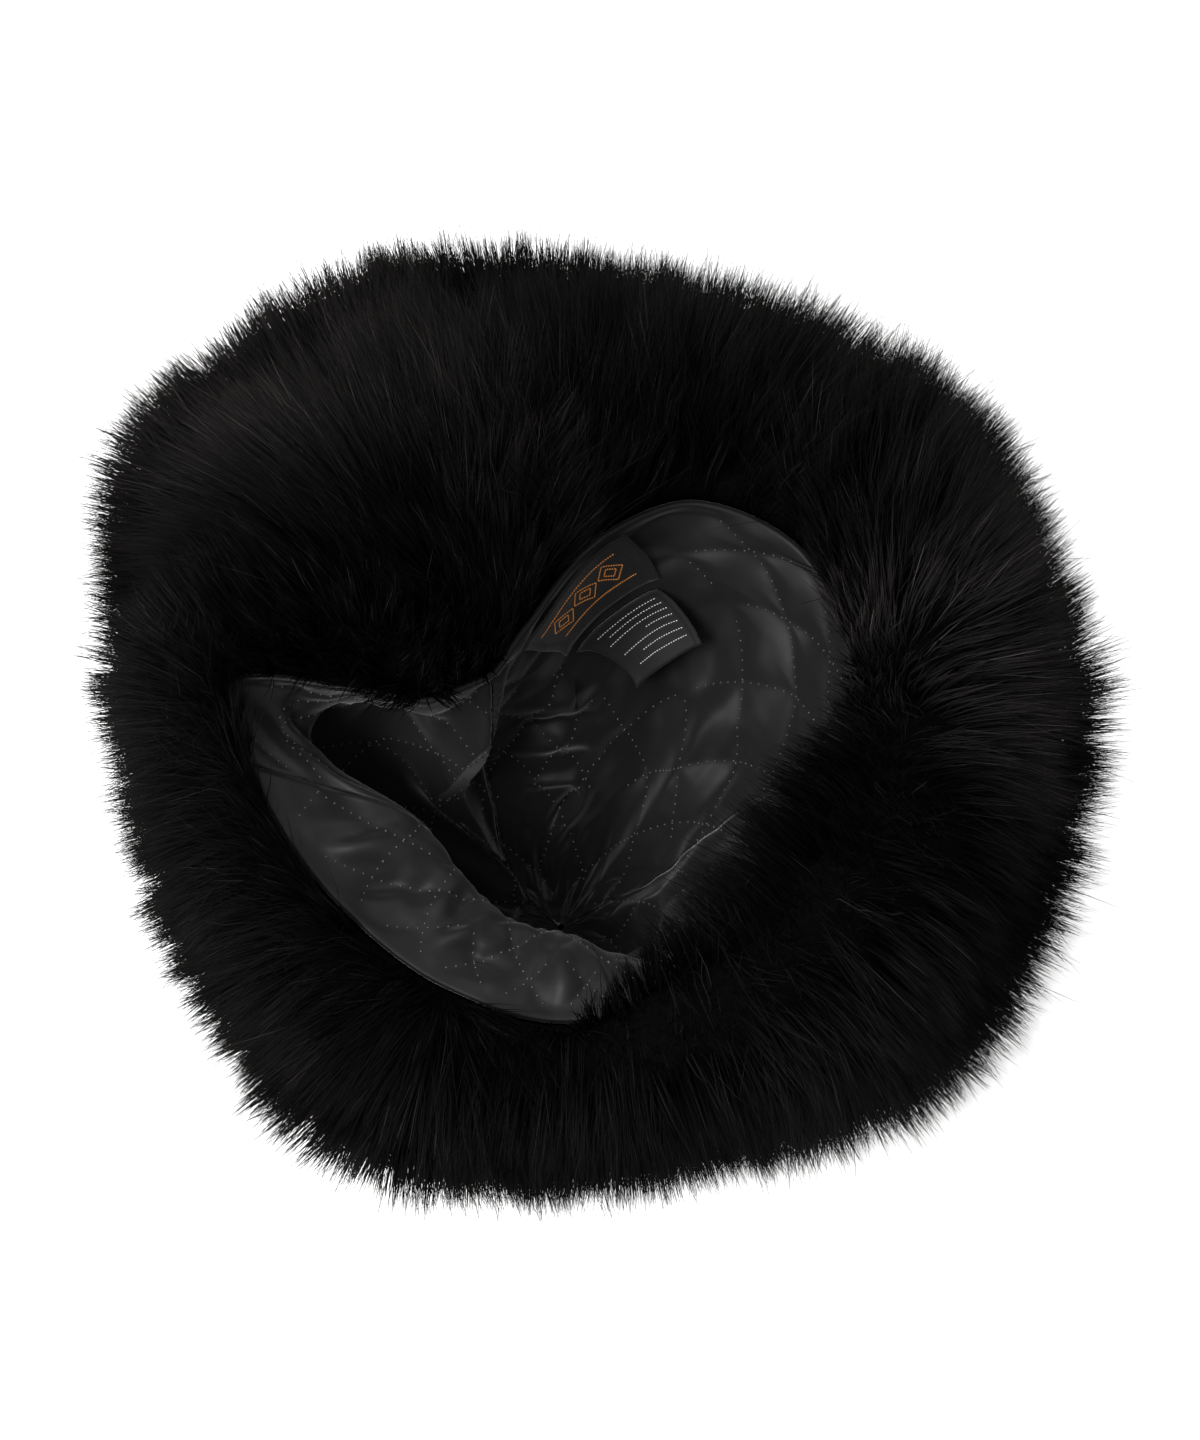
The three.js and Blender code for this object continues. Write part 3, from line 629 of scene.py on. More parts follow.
# %% Creases
# Each crease runs through places given as (turn, share of the way down), with its half width and height
# in millimetres, positive where it stands up.
CREASES = [
    ([(180, 0.05), (179, 0.1), (173, 0.16)], 2.5, -1.8),
    ([(184, 0.06), (183, 0.1), (187, 0.14), (192, 0.15)], 3.5, 1.8),
    ([(193, 0.05), (195, 0.09), (192, 0.12)], 3.0, -2.0),
    ([(199, 0.04), (202, 0.09), (208, 0.09)], 3.5, 1.4),
    ([(196, 0.23), (203, 0.17), (212, 0.11)], 4.5, 2.6),
    ([(205, 0.24), (212, 0.18), (219, 0.14)], 3.0, -1.8),
    ([(225, 0.06), (230, 0.09), (238, 0.1), (246, 0.1)], 2.5, -2.0),
    ([(224, 0.1), (232, 0.13), (242, 0.13)], 3.5, 1.6),
    ([(261, 0.1), (271, 0.11), (281, 0.08)], 7.0, 2.2),
    ([(240, 0.02), (248, 0.04), (256, 0.04)], 4.0, 1.4),
    ([(166, 0.1), (170, 0.13)], 2.5, -1.5),
    ([(101, 0.35), (90, 0.37), (79, 0.41)], 4.0, 2.2),
    ([(101, 0.42), (91, 0.42), (79, 0.45)], 2.6, -3.0),
    ([(104, 0.48), (91, 0.47), (79, 0.49)], 3.6, 2.0),
    ([(84, 0.47), (77, 0.5), (71, 0.55)], 3.0, 1.8),
    (
        [
            (103, 0.58), (93, 0.57), (84, 0.57), (77, 0.6), (80, 0.63), (91, 0.69), (98, 0.73), (97, 0.8),
            (101, 0.9),
        ],
        2.4, 2.6,
    ),
    ([(95, 0.67), (89, 0.64), (83, 0.61)], 2.4, -2.8),
    ([(69, 0.5), (68, 0.62), (69, 0.72), (71, 0.9), (72, 0.97)], 4.0, -3.4),
    ([(112, 0.7), (122, 0.82), (130, 0.9)], 2.2, 1.6),
    ([(108, 0.72), (114, 0.84), (122, 0.93)], 2.0, -1.6),
    ([(91, 0.77), (80, 0.75), (72, 0.73)], 4.5, 2.0),
    ([(125, 0.2), (130, 0.38), (137, 0.52)], 3.2, 1.8),
    ([(123, 0.26), (128, 0.36), (134, 0.47)], 2.6, -2.2),
    ([(124, 0.5), (131, 0.6), (137, 0.66)], 3.2, 1.8),
    ([(134, 0.6), (142, 0.68), (148, 0.74)], 3.0, 1.6),
    ([(151, 0.03), (155, 0.2), (162, 0.3)], 2.6, -2.2),
    ([(153, 0.05), (157, 0.19), (160, 0.28)], 2.4, 1.8),
    ([(147, 0.02), (150, 0.24), (155, 0.4)], 3.0, -2.6),
    ([(148, 0.1), (150, 0.38), (153, 0.46)], 2.6, 2.0),
    ([(143, 0.1), (147, 0.3), (149, 0.46)], 2.6, 1.8),
    ([(8, 0.92), (18, 0.84), (24, 0.78), (354, 0.62)], 4.0, 2.4),
    ([(48, 0.4), (44, 0.55), (38, 0.7)], 5.0, 1.8),
    ([(35, 0.35), (30, 0.5), (22, 0.62)], 4.0, -2.0),
    ([(20, 0.3), (14, 0.45), (6, 0.58)], 5.0, 1.8),
    ([(60, 0.25), (57, 0.4), (58, 0.52)], 5.0, 1.6),
    ([(330, 0.2), (336, 0.4), (345, 0.55)], 5.0, 2.0),
    ([(310, 0.2), (318, 0.42), (330, 0.6)], 4.0, -2.0),
    ([(296, 0.15), (300, 0.35), (310, 0.55)], 4.0, 1.8),
    ([(240, 0.4), (238, 0.6), (236, 0.8)], 4.0, 2.0),
    ([(215, 0.4), (213, 0.6), (210, 0.8)], 4.0, -2.0),
    ([(265, 0.4), (266, 0.6), (262, 0.8)], 4.0, 2.0),
]


def plain_place(places):
    places = np.array(places, float)
    return lining_plain.at(places[:, 0], places[:, 1])


def crease_height(points):
    """Height of all creases at points that lie on the plain lining."""
    height = np.zeros(points.shape[:-1])
    for places, half_width, lift in CREASES:
        line = plain_place(places)
        nearest = np.full(points.shape[:-1], np.inf)
        run = np.zeros(points.shape[:-1])
        lengths = np.linalg.norm(np.diff(line, axis=0), axis=1)
        whole = lengths.sum()
        passed = 0.0
        for start, end, length in zip(line[:-1], line[1:], lengths):
            step = (end - start) / length
            along = np.clip((points - start) @ step, 0, length)
            apart = np.linalg.norm(points - start - along[..., None] * step, axis=-1)
            closer = apart < nearest
            nearest = np.where(closer, apart, nearest)
            run = np.where(closer, (passed + along) / whole, run)
            passed += length
        ends = np.sqrt(np.clip(np.sin(math.pi * np.clip(run * 0.9 + 0.05, 0, 1)), 0, 1))
        height += lift * hump(nearest, half_width * 1.6) * ends
    return height


print(len(CREASES), "creases")

# %% Rumples, puckers and quilting
QUILT_RADIUS = 62.0
QUILT_COUNT = 16  # lines of each slant round the lining
QUILT_PITCH = math.tau * QUILT_RADIUS / QUILT_COUNT
QUILT_DEPTH = 150.0
GATHER_PITCH = 3.0
GATHER_HEIGHT = 0.9
GATHER_REACH = 5.0  # how far the ridges run out from the gathered seam
GATHERED_SEAM_RADIUS = 48
SEAM_DEPTH = 1.3  # how far the gathered seam is drawn in
SEAM_HALF_WIDTH = 0.9
SEAM_LINES = {  # each seam as places of (turn, share of the way down)
    "left": [(167, 0.0), (167, 0.12), (170, 0.3), (176, 0.6), (180, 1.0)],
    "front": [(289, 0.0), (289, 0.3), (288, 0.6), (284, 1.0)],
    "right": [(378, 0.0), (378, 1.0)],
    "gathered": [(472, 0.0), (479, 0.2), (480, 0.5), (484, 0.62), (492, 0.7), (502, 0.8), (508, 1.0)],
}


def seam_turn(name, share):
    places = np.array(SEAM_LINES[name], float)
    return np.interp(share, places[:, 1], places[:, 0])


HASH_STEPS = (73856093, 19349663, 83492791)  # large primes that spread neighbouring cells over the table
NOISE_TABLE = 4096


def value_noise(points, size, seed):
    """Smooth value noise between -1 and 1 on points in millimetres."""
    table = np.random.default_rng(seed).uniform(-1, 1, NOISE_TABLE)
    cell = np.floor(points / size).astype(int)
    share = points / size - cell
    share = share * share * (3 - 2 * share)
    total = 0.0
    for dx in (0, 1):
        for dy in (0, 1):
            for dz in (0, 1):
                corner = [(cell[..., k] + d) * HASH_STEPS[k] for k, d in enumerate((dx, dy, dz))]
                key = corner[0] ^ corner[1] ^ corner[2]
                weight = (
                    np.where(dx, share[..., 0], 1 - share[..., 0])
                    * np.where(dy, share[..., 1], 1 - share[..., 1])
                    * np.where(dz, share[..., 2], 1 - share[..., 2])
                )
                total = total + table[key % NOISE_TABLE] * weight
    return total


def quilt_lines(turn, share):
    """Distance in millimetres to the nearest line of the quilting, from two sets of slanting lines."""
    around_it = np.radians(turn) * QUILT_RADIUS
    down = share * QUILT_DEPTH
    first = np.mod(around_it + down + QUILT_PITCH / 2, QUILT_PITCH) - QUILT_PITCH / 2
    second = np.mod(around_it - down + QUILT_PITCH / 2, QUILT_PITCH) - QUILT_PITCH / 2
    return np.minimum(np.abs(first), np.abs(second)) / math.sqrt(2)


def pucker_height(turn, share):
    """Small ridges across the gathered seam, deepest beside it, and the groove of the seam itself."""
    apart = angle_apart(seam_turn("gathered", share), turn)
    distance = apart * math.pi / 180 * GATHERED_SEAM_RADIUS
    down = share * QUILT_DEPTH
    ridges = GATHER_HEIGHT * np.abs(np.cos(math.pi * down / GATHER_PITCH))
    near = np.clip(1 - np.abs(distance) / GATHER_REACH, 0, 1)
    groove = SEAM_DEPTH * np.exp(-((distance / SEAM_HALF_WIDTH) ** 2))
    return np.where(distance > 0, ridges * near, 0.4 * ridges * near) - groove


LABEL_ZONES = [(64, 105, -0.1, 0.33), (52, 90, 0.2, 0.43)]  # turns and shares that the labels cover


def under_labels(turn, share):
    """1 where the labels lie, falling to 0 a little way round them."""
    angle = np.mod(turn, FULL_TURN)
    covered = 0.0
    for first_turn, last_turn, first_share, last_share in LABEL_ZONES:
        across = np.clip((angle - first_turn) / 4, 0, 1) * np.clip((last_turn - angle) / 4, 0, 1)
        down = np.clip((share - first_share) / 0.03, 0, 1) * np.clip((last_share - share) / 0.03, 0, 1)
        covered = np.maximum(covered, across * down)
    return covered


def lining_relief(turn, share):
    """All moves of the lining's face towards the hollow, in millimetres."""
    points = lining_plain.at(turn, share)
    calm = 1 - np.clip((share - 0.82) / 0.18, 0, 1) ** 2
    edge = np.clip(share / 0.03, 0, 1)
    height = broad_folds(turn, share) * calm
    height = height + crease_height(points) * edge
    height = height + (1.3 * value_noise(points, 15.0, 3) + 0.4 * value_noise(points, 7.0, 5)) * edge * calm
    wadding = 1 - np.clip(quilt_lines(turn, share) / 7.0, 0, 1)
    height = height - 0.8 * wadding**2 * edge * calm
    height = height + pucker_height(turn, share) * edge
    return np.minimum(height, 0.25 + 12 * (1 - under_labels(turn, share)))


def lining_face(turn, share):
    """Point of the lining's visible face."""
    normal = -lining_plain.normal_at(turn, share)
    return lining_plain.at(turn, share) + normal * lining_relief(turn, share)[..., None], normal


relief_test = lining_relief(fine_turns, np.full(fine_turns.shape, 0.5))
print("relief halfway down is up to", round(float(relief_test.max()), 1), "mm")

# %% [markdown]
# A helper lays a grid primitive on a surface. It adds the grid, cuts it, then places each vertex by
# the function that it is given, which is the same as proportional editing done with numbers. It
# turns the faces round where they would point the wrong way.

# %% Laying a grid on a surface
def laid_grid(name, columns, rows, place, towards):
    """A grid primitive whose vertices are placed by place(u, v), with faces turned towards a direction."""
    bpy.ops.mesh.primitive_grid_add(x_subdivisions=columns, y_subdivisions=rows, size=2, calc_uvs=True)
    piece = bpy.context.object
    piece.name = name
    piece.data.name = name
    flat = np.empty(len(piece.data.vertices) * 3, np.float32)
    piece.data.vertices.foreach_get("co", flat)
    flat = flat.reshape(-1, 3).astype(float)
    points = place(flat[:, 0] / 2 + 0.5, flat[:, 1] / 2 + 0.5)
    piece.data.vertices.foreach_set("co", ((points + SHIFT) * MM).astype(np.float32).ravel())
    piece.data.update()
    wanted = towards(points)
    normals = np.empty(len(piece.data.vertices) * 3, np.float32)
    piece.data.vertices.foreach_get("normal", normals)
    if (normals.reshape(-1, 3) * wanted).sum() < 0:
        bpy.ops.object.mode_set(mode="EDIT")
        bpy.ops.mesh.select_all(action="SELECT")
        bpy.ops.mesh.flip_normals()
        bpy.ops.object.mode_set(mode="OBJECT")
    bpy.ops.object.shade_smooth()
    bpy.ops.object.select_all(action="DESELECT")
    return piece


def apply_modifier(piece, kind, **settings):
    """Adds a modifier with its settings and applies it."""
    bpy.ops.object.select_all(action="DESELECT")
    piece.select_set(True)
    bpy.context.view_layer.objects.active = piece
    modifier = piece.modifiers.new(kind.lower(), kind)
    for key, value in settings.items():
        setattr(modifier, key, value)
    bpy.ops.object.modifier_apply(modifier=modifier.name)
    bpy.ops.object.select_all(action="DESELECT")


def mesh_area(piece):
    """Area of a mesh's faces in square metres."""
    areas = np.empty(len(piece.data.polygons), np.float32)
    piece.data.polygons.foreach_get("area", areas)
    return float(areas.sum())


HOLLOW_MIDDLE = np.array([*HOLLOW, 70.0])


def towards_hollow(points):
    return HOLLOW_MIDDLE - points


print("grids are turned towards", [round(v) for v in HOLLOW_MIDDLE])

# %% The four gores
ROLL_SHARE = 0.04  # share of each gore's rows that make the rolled edge at the rim
ROLL_RADIUS = 1.3
HALF_SEAM = 0.12  # half the gap between two gores


def gore_place(start, end, start_offset, end_offset):
    """Places a gore between two seams, with its edge rolled over at the rim."""

    def place(u, v):
        down = np.clip((v - ROLL_SHARE) / (1 - ROLL_SHARE), 0, 1)
        rolled = np.clip(1 - v / ROLL_SHARE, 0, 1)
        first = seam_turn(start, down) + start_offset
        last = seam_turn(end, down) + end_offset
        turn = first + (last - first) * u
        radius = np.linalg.norm(lining_plain.at(turn, down)[:, :2] - HOLLOW, axis=1)
        half_gap = np.degrees(HALF_SEAM / np.maximum(radius, 5))
        turn = turn + half_gap * (1 - 2 * u)
        face, normal = lining_face(turn, down)
        up = -lining_plain.ahead_at(turn, down)
        angle = (rolled * math.pi * 0.6)[:, None]
        return face + ROLL_RADIUS * (up * np.sin(angle) - normal * (1 - np.cos(angle)))

    return place


# The seams before and behind each gore, the turns added to them, and the columns and rows of its grid
GORES = {
    "lining_front_left": ("left", "front", 0, 0, 96, 110),
    "lining_front_right": ("front", "right", 0, 0, 70, 84),
    "lining_back_right": ("right", "gathered", 0, 0, 88, 164),
    "lining_back_left": ("gathered", "left", 0, FULL_TURN, 64, 140),
}


def line_length(points):
    return float(np.linalg.norm(np.diff(points, axis=0), axis=1).sum())


def flat_size(place):
    """Longest width and length of a laid sheet in metres, measured over its folds."""
    step = np.linspace(0, 1, 200)
    width = max(line_length(place(step, np.full(200, v))) for v in (0.05, 0.2, 0.4))
    length = max(line_length(place(np.full(200, u), step)) for u in (0.1, 0.5, 0.9))
    return width * MM, length * MM


gores = {}
for name, (start, end, start_offset, end_offset, columns, rows) in GORES.items():
    place = gore_place(start, end, start_offset, end_offset)
    gore = laid_grid(name + "_satin", columns, rows, place, towards_hollow)
    gore.data.materials.append(satin_finish)
    flat_size(place)
    mesh_area(gore)
    apply_modifier(gore, "SOLIDIFY", thickness=1.2 * MM, offset=-1)
    gores[name] = gore

# %% [markdown]
# The quilting shows as lines of bright raised dots, where the needle pulls the satin down and the thread
# comes up. Their brightness is a painted highlight: the dots are given a colour lighter than the satin's, for
# the gloss on each raised dot. A dot could be a small sphere copied by an array modifier, but the lines cross
# folds in every direction. So one low dome is worked out once and placed at every dot by an array of points,
# a direction along the line and the cloth's normal, all joined in one mesh for a gore. The same helper makes
# the stitches of the labels.

# %% Domes and stitches
DOME_SIDES = 6


def mesh_from_arrays(name, points, faces, material):
    """An object of many like solids: points (count, n, 3) in millimetres, and the faces of one of them."""
    count, per_solid = points.shape[:2]
    corners = np.concatenate([np.array(face) for face in faces])
    sizes = np.array([len(face) for face in faces])
    starts = np.concatenate([[0], np.cumsum(sizes)[:-1]])
    copies = np.arange(count)[:, None]
    mesh = bpy.data.meshes.new(name)
    mesh.vertices.add(count * per_solid)
    mesh.vertices.foreach_set("co", ((points.reshape(-1, 3) + SHIFT) * MM).astype(np.float32).ravel())
    mesh.loops.add(count * len(corners))
    mesh.loops.foreach_set("vertex_index", (copies * per_solid + corners).astype(np.int32).ravel())
    mesh.polygons.add(count * len(sizes))
    mesh.polygons.foreach_set("loop_start", (copies * len(corners) + starts).astype(np.int32).ravel())
    mesh.polygons.foreach_set("use_smooth", np.ones(count * len(sizes), bool))
    mesh.materials.append(material)
    piece = bpy.data.objects.new(name, mesh)
    bpy.context.collection.objects.link(piece)
    return piece


def settle_mesh(mesh):
    mesh.update(calc_edges=True)
    mesh.validate()


def domes(name, middle, along, normal, length, width, height, material):
    """Many low closed domes in one mesh, each with its length along a direction and standing up a normal."""
    count = len(middle)
    along = along - normal * (along * normal).sum(-1, keepdims=True)
    along /= np.maximum(np.linalg.norm(along, axis=-1, keepdims=True), 1e-9)
    side = np.cross(normal, along)
    angle = np.arange(DOME_SIDES) * math.tau / DOME_SIDES
    length, width = (np.broadcast_to(v, count)[:, None, None] / 2 for v in (length, width))
    ring = along[:, None] * np.cos(angle)[None, :, None] * length
    ring = ring + side[:, None] * np.sin(angle)[None, :, None] * width
    base = middle[:, None] + ring - normal[:, None] * 0.15
    shoulder = middle[:, None] + ring * 0.72 + normal[:, None] * height * 0.7
    top = middle[:, None] + normal[:, None] * height
    points = np.concatenate([base, shoulder, top], 1)
    n = DOME_SIDES
    nearby = [(k, (k + 1) % n) for k in range(n)]
    quads = [(a, b, n + b, n + a) for a, b in nearby]
    fans = [(n + a, n + b, 2 * n) for a, b in nearby]
    floor_face = tuple(reversed(range(n)))
    piece = mesh_from_arrays(name, points, [*quads, *fans, floor_face], material)
    settle_mesh(piece.data)
    print(name, count, "domes,", count * (3 * n + n - 2), "triangles")
    return piece


def thread_finish(name, colour, roughness, specular):
    """A thread with a fine twist as bump and a slight change of tone."""
    material, nodes, links, shader = new_material(name, roughness=roughness, specular=specular, sheen=0.1)
    place = nodes.new("ShaderNodeTexCoord")
    twist = nodes.new("ShaderNodeTexNoise")
    twist.inputs["Scale"].default_value = 2600.0
    links.new(place.outputs["Object"], twist.inputs["Vector"])
    relief = nodes.new("ShaderNodeBump")
    relief.inputs["Strength"].default_value = 0.3
    relief.inputs["Distance"].default_value = 0.1 * MM
    links.new(twist.outputs["Fac"], relief.inputs["Height"])
    links.new(relief.outputs["Normal"], shader.inputs["Normal"])
    ramp = nodes.new("ShaderNodeValToRGB")
    ramp.color_ramp.elements[0].color = (*(0.6 * c for c in colour), 1)
    ramp.color_ramp.elements[1].color = (*(1.3 * c for c in colour), 1)
    links.new(twist.outputs["Fac"], ramp.inputs["Fac"])
    links.new(ramp.outputs["Color"], shader.inputs["Base Color"])
    return material


# The quilting dots are lighter than the satin as a painted highlight of their gloss
quilt_dot_painted_highlight = thread_finish("quilt_dot_painted_highlight", (0.022, 0.021, 0.023), 0.25, 0.45)
gold_thread = thread_finish("gold_thread", (0.5, 0.19, 0.03), 0.4, 0.4)
white_thread = thread_finish("white_thread", (0.5, 0.5, 0.5), 0.6, 0.3)
print("threads ready")

# %% Quilting
DOT_PITCH = 2.9
DOT_WIDTH = 0.95
DOT_HEIGHT = 0.42
DOT_SHARES = np.linspace(0.035, 0.86, 700)
CLOSE_RADIUS = 36  # nearer the middle than this, only every other line is kept
QUILT_END_RADIUS = 9


def quilting_dots():
    """Turn and share of every dot of the quilting, line by line."""
    turns, shares = [], []
    for slant in (1, -1):
        for line in range(QUILT_COUNT):
            turn = np.degrees((line * QUILT_PITCH - slant * DOT_SHARES * QUILT_DEPTH) / QUILT_RADIUS)
            points = lining_face(turn, DOT_SHARES)[0]
            passed = np.concatenate([[0], np.cumsum(np.linalg.norm(np.diff(points, axis=0), axis=1))])
            share = np.interp(np.arange(0, passed[-1], DOT_PITCH), passed, DOT_SHARES)
            turn = np.degrees((line * QUILT_PITCH - slant * share * QUILT_DEPTH) / QUILT_RADIUS)
            radius = np.linalg.norm(lining_plain.at(turn, share)[:, :2] - HOLLOW, axis=1)
            kept = (radius > CLOSE_RADIUS) | ((line % 2 == 0) & (radius > QUILT_END_RADIUS))
            kept &= under_labels(turn, share) < 0.5
            turns.append(turn[kept])
            shares.append(share[kept])
    return np.mod(np.concatenate(turns), FULL_TURN), np.concatenate(shares)


dot_turn, dot_share = quilting_dots()
quilting = {}
for name, (start, end, start_offset, end_offset, columns, rows) in GORES.items():
    first = seam_turn(start, dot_share) + start_offset
    last = seam_turn(end, dot_share) + end_offset
    inside = np.mod(dot_turn - first - 1, FULL_TURN) < last - first - 2
    turn, share = dot_turn[inside], dot_share[inside]
    middle, normal = lining_face(turn, share)
    along = lining_plain.ahead_at(turn, share)
    quilting[name] = domes(
        name + "_quilting", middle, along, normal, DOT_WIDTH, DOT_WIDTH, DOT_HEIGHT, quilt_dot_painted_highlight
    )

# %% [markdown]
# Two labels are sewn to the lining at the back of the rim: a black woven one that is folded under at
# its ends, and below it a narrower satin ribbon whose lower edge stands off. Both are grids laid on
# the lining between four corners. The woven one has a plain ornament of diamonds in gold thread, and
# the ribbon has plain pale rules, both made of rows of small stitches.

# %% Labels
LABEL_GAP = 0.8
LABEL_WALL = 0.6
HEM_RISE = 0.35
LABELS = {
    "maker_label": {"top": (78, 102, 0.01, 0.02), "bottom": (70, 89, 0.22, 0.28), "rise": 0.0, "curl": 0.3},
    "care_label": {"top": (70, 86, 0.25, 0.3), "bottom": (57, 68, 0.31, 0.4), "rise": 4.0, "curl": 0.6},
}


def on_label(label, along, down, lift=0.0):
    """Point on a label at shares along and down it, and the direction away from the lining."""
    edges = []
    for edge in ("top", "bottom"):
        first_turn, last_turn, first_share, last_share = label[edge]
        edge_turn = first_turn + (last_turn - first_turn) * along
        edges.append((edge_turn, first_share + (last_share - first_share) * along))
    turn = edges[0][0] + (edges[1][0] - edges[0][0]) * down
    share = edges[0][1] + (edges[1][1] - edges[0][1]) * down
    normal = -lining_plain.normal_at(turn, share)
    wave = label["curl"] * np.sin(along * 7 + 1) * np.sin(down * 5) * down
    hem = HEM_RISE * np.clip((0.07 - np.minimum(along, 1 - along)) / 0.01, 0, 1)
    height = LABEL_GAP + LABEL_WALL + label["rise"] * down**2 + wave + hem + lift
    return lining_plain.at(turn, share) + normal * np.asarray(height)[..., None], normal


label_pieces = {}
label_sizes = {}
for name, label in LABELS.items():
    piece = laid_grid(
        name + "_cloth", 48, 24, lambda u, v, label=label: on_label(label, u, v)[0], towards_hollow
    )
    piece.data.materials.append(woven_finish if name == "maker_label" else ribbon_finish)
    edge = np.linspace(0, 1, 60)
    label_sizes[name] = (
        line_length(on_label(label, edge, np.full(60, 0.5))[0]) * MM,
        line_length(on_label(label, np.full(60, 0.5), edge)[0]) * MM,
    )
    apply_modifier(piece, "SOLIDIFY", thickness=LABEL_WALL * MM, offset=-1)
    label_pieces[name] = piece
    print(name, "is", [round(v / MM, 1) for v in label_sizes[name]], "mm")

# %% [markdown]
# The ornament and the rules are drawn first as lines across and down a label, in millimetres. Each
# line is then walked along in even steps, and a flat dome is laid at every step as one stitch.

# %% Stitches on the labels
def stitch_rows(name, label, lines, pitch, width, height, material):
    """Rows of stitches along lines given in millimetres across and down the label."""
    size = np.array(label_sizes[name]) / MM
    places, ends = [], []
    for line in lines:
        line = np.array(line, float)
        lengths = np.concatenate([[0], np.cumsum(np.linalg.norm(np.diff(line, axis=0), axis=1))])
        steps = np.arange(pitch / 2, lengths[-1], pitch)
        for run, store in ((steps - pitch * 0.3, places), (steps + pitch * 0.3, ends)):
            store.append(np.stack([np.interp(run, lengths, line[:, k]) for k in (0, 1)], -1))
    first, second = np.concatenate(places) / size, np.concatenate(ends) / size
    start, normal = on_label(label, first[:, 0], first[:, 1])
    end, _ = on_label(label, second[:, 0], second[:, 1])
    stitch = np.linalg.norm(end - start, axis=1) * 1.5
    return domes(name + "_stitches", (start + end) / 2, end - start, normal, stitch, width, height, material)


def diamond(middle, half_width, half_height):
    across, down = middle
    return [
        (across - half_width, down), (across, down - half_height), (across + half_width, down),
        (across, down + half_height), (across - half_width, down),
    ]


maker_wide, maker_high = (v / MM for v in label_sizes["maker_label"])
DIAMOND_PITCH = 9.5
RULE_HALF = 15
ornament = []
for place in (-1, 0, 1):
    middle = (maker_wide / 2 + place * DIAMOND_PITCH, maker_high / 2)
    ornament += [diamond(middle, 4.4, 5.2), diamond(middle, 2.2, 2.6)]
for rule in (-7.2, 7.2):
    down = maker_high / 2 + rule
    ornament.append([(maker_wide / 2 - RULE_HALF, down), (maker_wide / 2 + RULE_HALF, down)])
care_wide, care_high = (v / MM for v in label_sizes["care_label"])
RULE_ENDS = (0.86, 0.78, 0.9, 0.5, 0.88, 0.7, 0.82)
rules = []
for row, end in enumerate(RULE_ENDS):
    down = care_high * (0.16 + 0.11 * row)
    rules.append([(care_wide * 0.12, down), (care_wide * end, down)])
label_stitches = {
    "maker_label": stitch_rows("maker_label", LABELS["maker_label"], ornament, 0.8, 0.55, 0.22, gold_thread),
    "care_label": stitch_rows("care_label", LABELS["care_label"], rules, 0.9, 0.4, 0.08, white_thread),
}

# %% [markdown]
# ## Fur
#
# Deep pile fur is thousands of hairs that lean one way, gather into soft locks and thin out at their
# tips. Blender's hair curves draw that well but can't be handed on as a mesh, so each hair here is a
# narrow ribbon of a few faces that ends in a point. All of them are worked out at once as arrays: a
# root on the cloth, a direction from the cloth's normal and the way the pile runs, and a bend from
# its own weight. Hairs near the same lock lean towards its middle.

# %% Swirls
# How far the pile turns aside, in degrees anticlockwise, near the crest and at the hat's edge, and how
# long the hairs are there, as a share of the common length
SWIRL_COLUMNS = ("azimuth", "crest", "edge", "crest_reach", "edge_reach")
SWIRL_ROWS = [
    (0, 12, 8, 1.24, 1.07),
    (8, 42, 20, 1.3, 1.06),
    (20, 50, 26, 1.36, 1.08),
    (34, 50, 12, 1.5, 1.13),
    (46, -5, -8, 1.36, 1.03),
    (57, -8, 0, 1.44, 1.02),
    (72, 6, 6, 1.48, 1.0),
    (90, 0, 0, 1.44, 1.0),
    (104, 10, 8, 1.42, 1.0),
    (112, 26, 20, 1.55, 1.03),
    (115, 24, 18, 1.52, 1.05),
    (119, -20, -16, 1.4, 1),
    (126, -14, -10, 1.44, 1.04),
    (134, -4, -3, 1.3, 0.95),
    (146, 14, 10, 1.32, 0.99),
    (156, 22, 16, 1.34, 1.04),
    (165, 8, 6, 1.12, 1),
    (178, -22, -16, 1, 1),
    (188, 0, 0, 0.97, 0.98),
    (199, -8, -8, 0.94, 0.96),
    (222, -17, -15, 0.93, 0.93),
    (234, -16, -14, 0.97, 0.95),
    (242, -12, -8, 0.97, 0.97),
    (246, 34, 22, 0.96, 0.96),
    (252, 12, 8, 0.94, 0.92),
    (265, 0, 0, 0.9, 0.87),
    (290, -5, -5, 0.95, 0.92),
    (310, -20, -14, 1.02, 1),
    (325, -28, -12, 0.96, 0.94),
    (343, -24, -8, 0.97, 0.94),
    (353, -14, -10, 1.02, 0.96),
]
CREST_WAY = 1.2
EDGE_WAY = 2.6


def azimuth_at(turn, way):
    """Direction of a place on the cloth as seen from the middle of the crown."""
    points = crown_cloth.at(turn, way)
    return np.degrees(np.arctan2(points[..., 1], points[..., 0]))


def edge_share(way):
    return np.clip((way - CREST_WAY) / (EDGE_WAY - CREST_WAY), 0, 1)


def pile_aside(turn, way):
    azimuth = azimuth_at(turn, way)
    crest = around(SWIRL_ROWS, SWIRL_COLUMNS, "crest", azimuth)
    edge = around(SWIRL_ROWS, SWIRL_COLUMNS, "edge", azimuth)
    return crest + (edge - crest) * edge_share(way)


def pile_reach(turn, way):
    azimuth = azimuth_at(turn, way)
    crest = around(SWIRL_ROWS, SWIRL_COLUMNS, "crest_reach", azimuth)
    edge = around(SWIRL_ROWS, SWIRL_COLUMNS, "edge_reach", azimuth)
    return crest + (edge - crest) * edge_share(way)


print(len(SWIRL_ROWS), "swirls round the hat")

# %% [markdown]
# Three more tables give the pile its run: how far it leans and how long it is from the rim to the
# tuck, how high the undercoat stands in it, and where it hangs inwards over the rim.

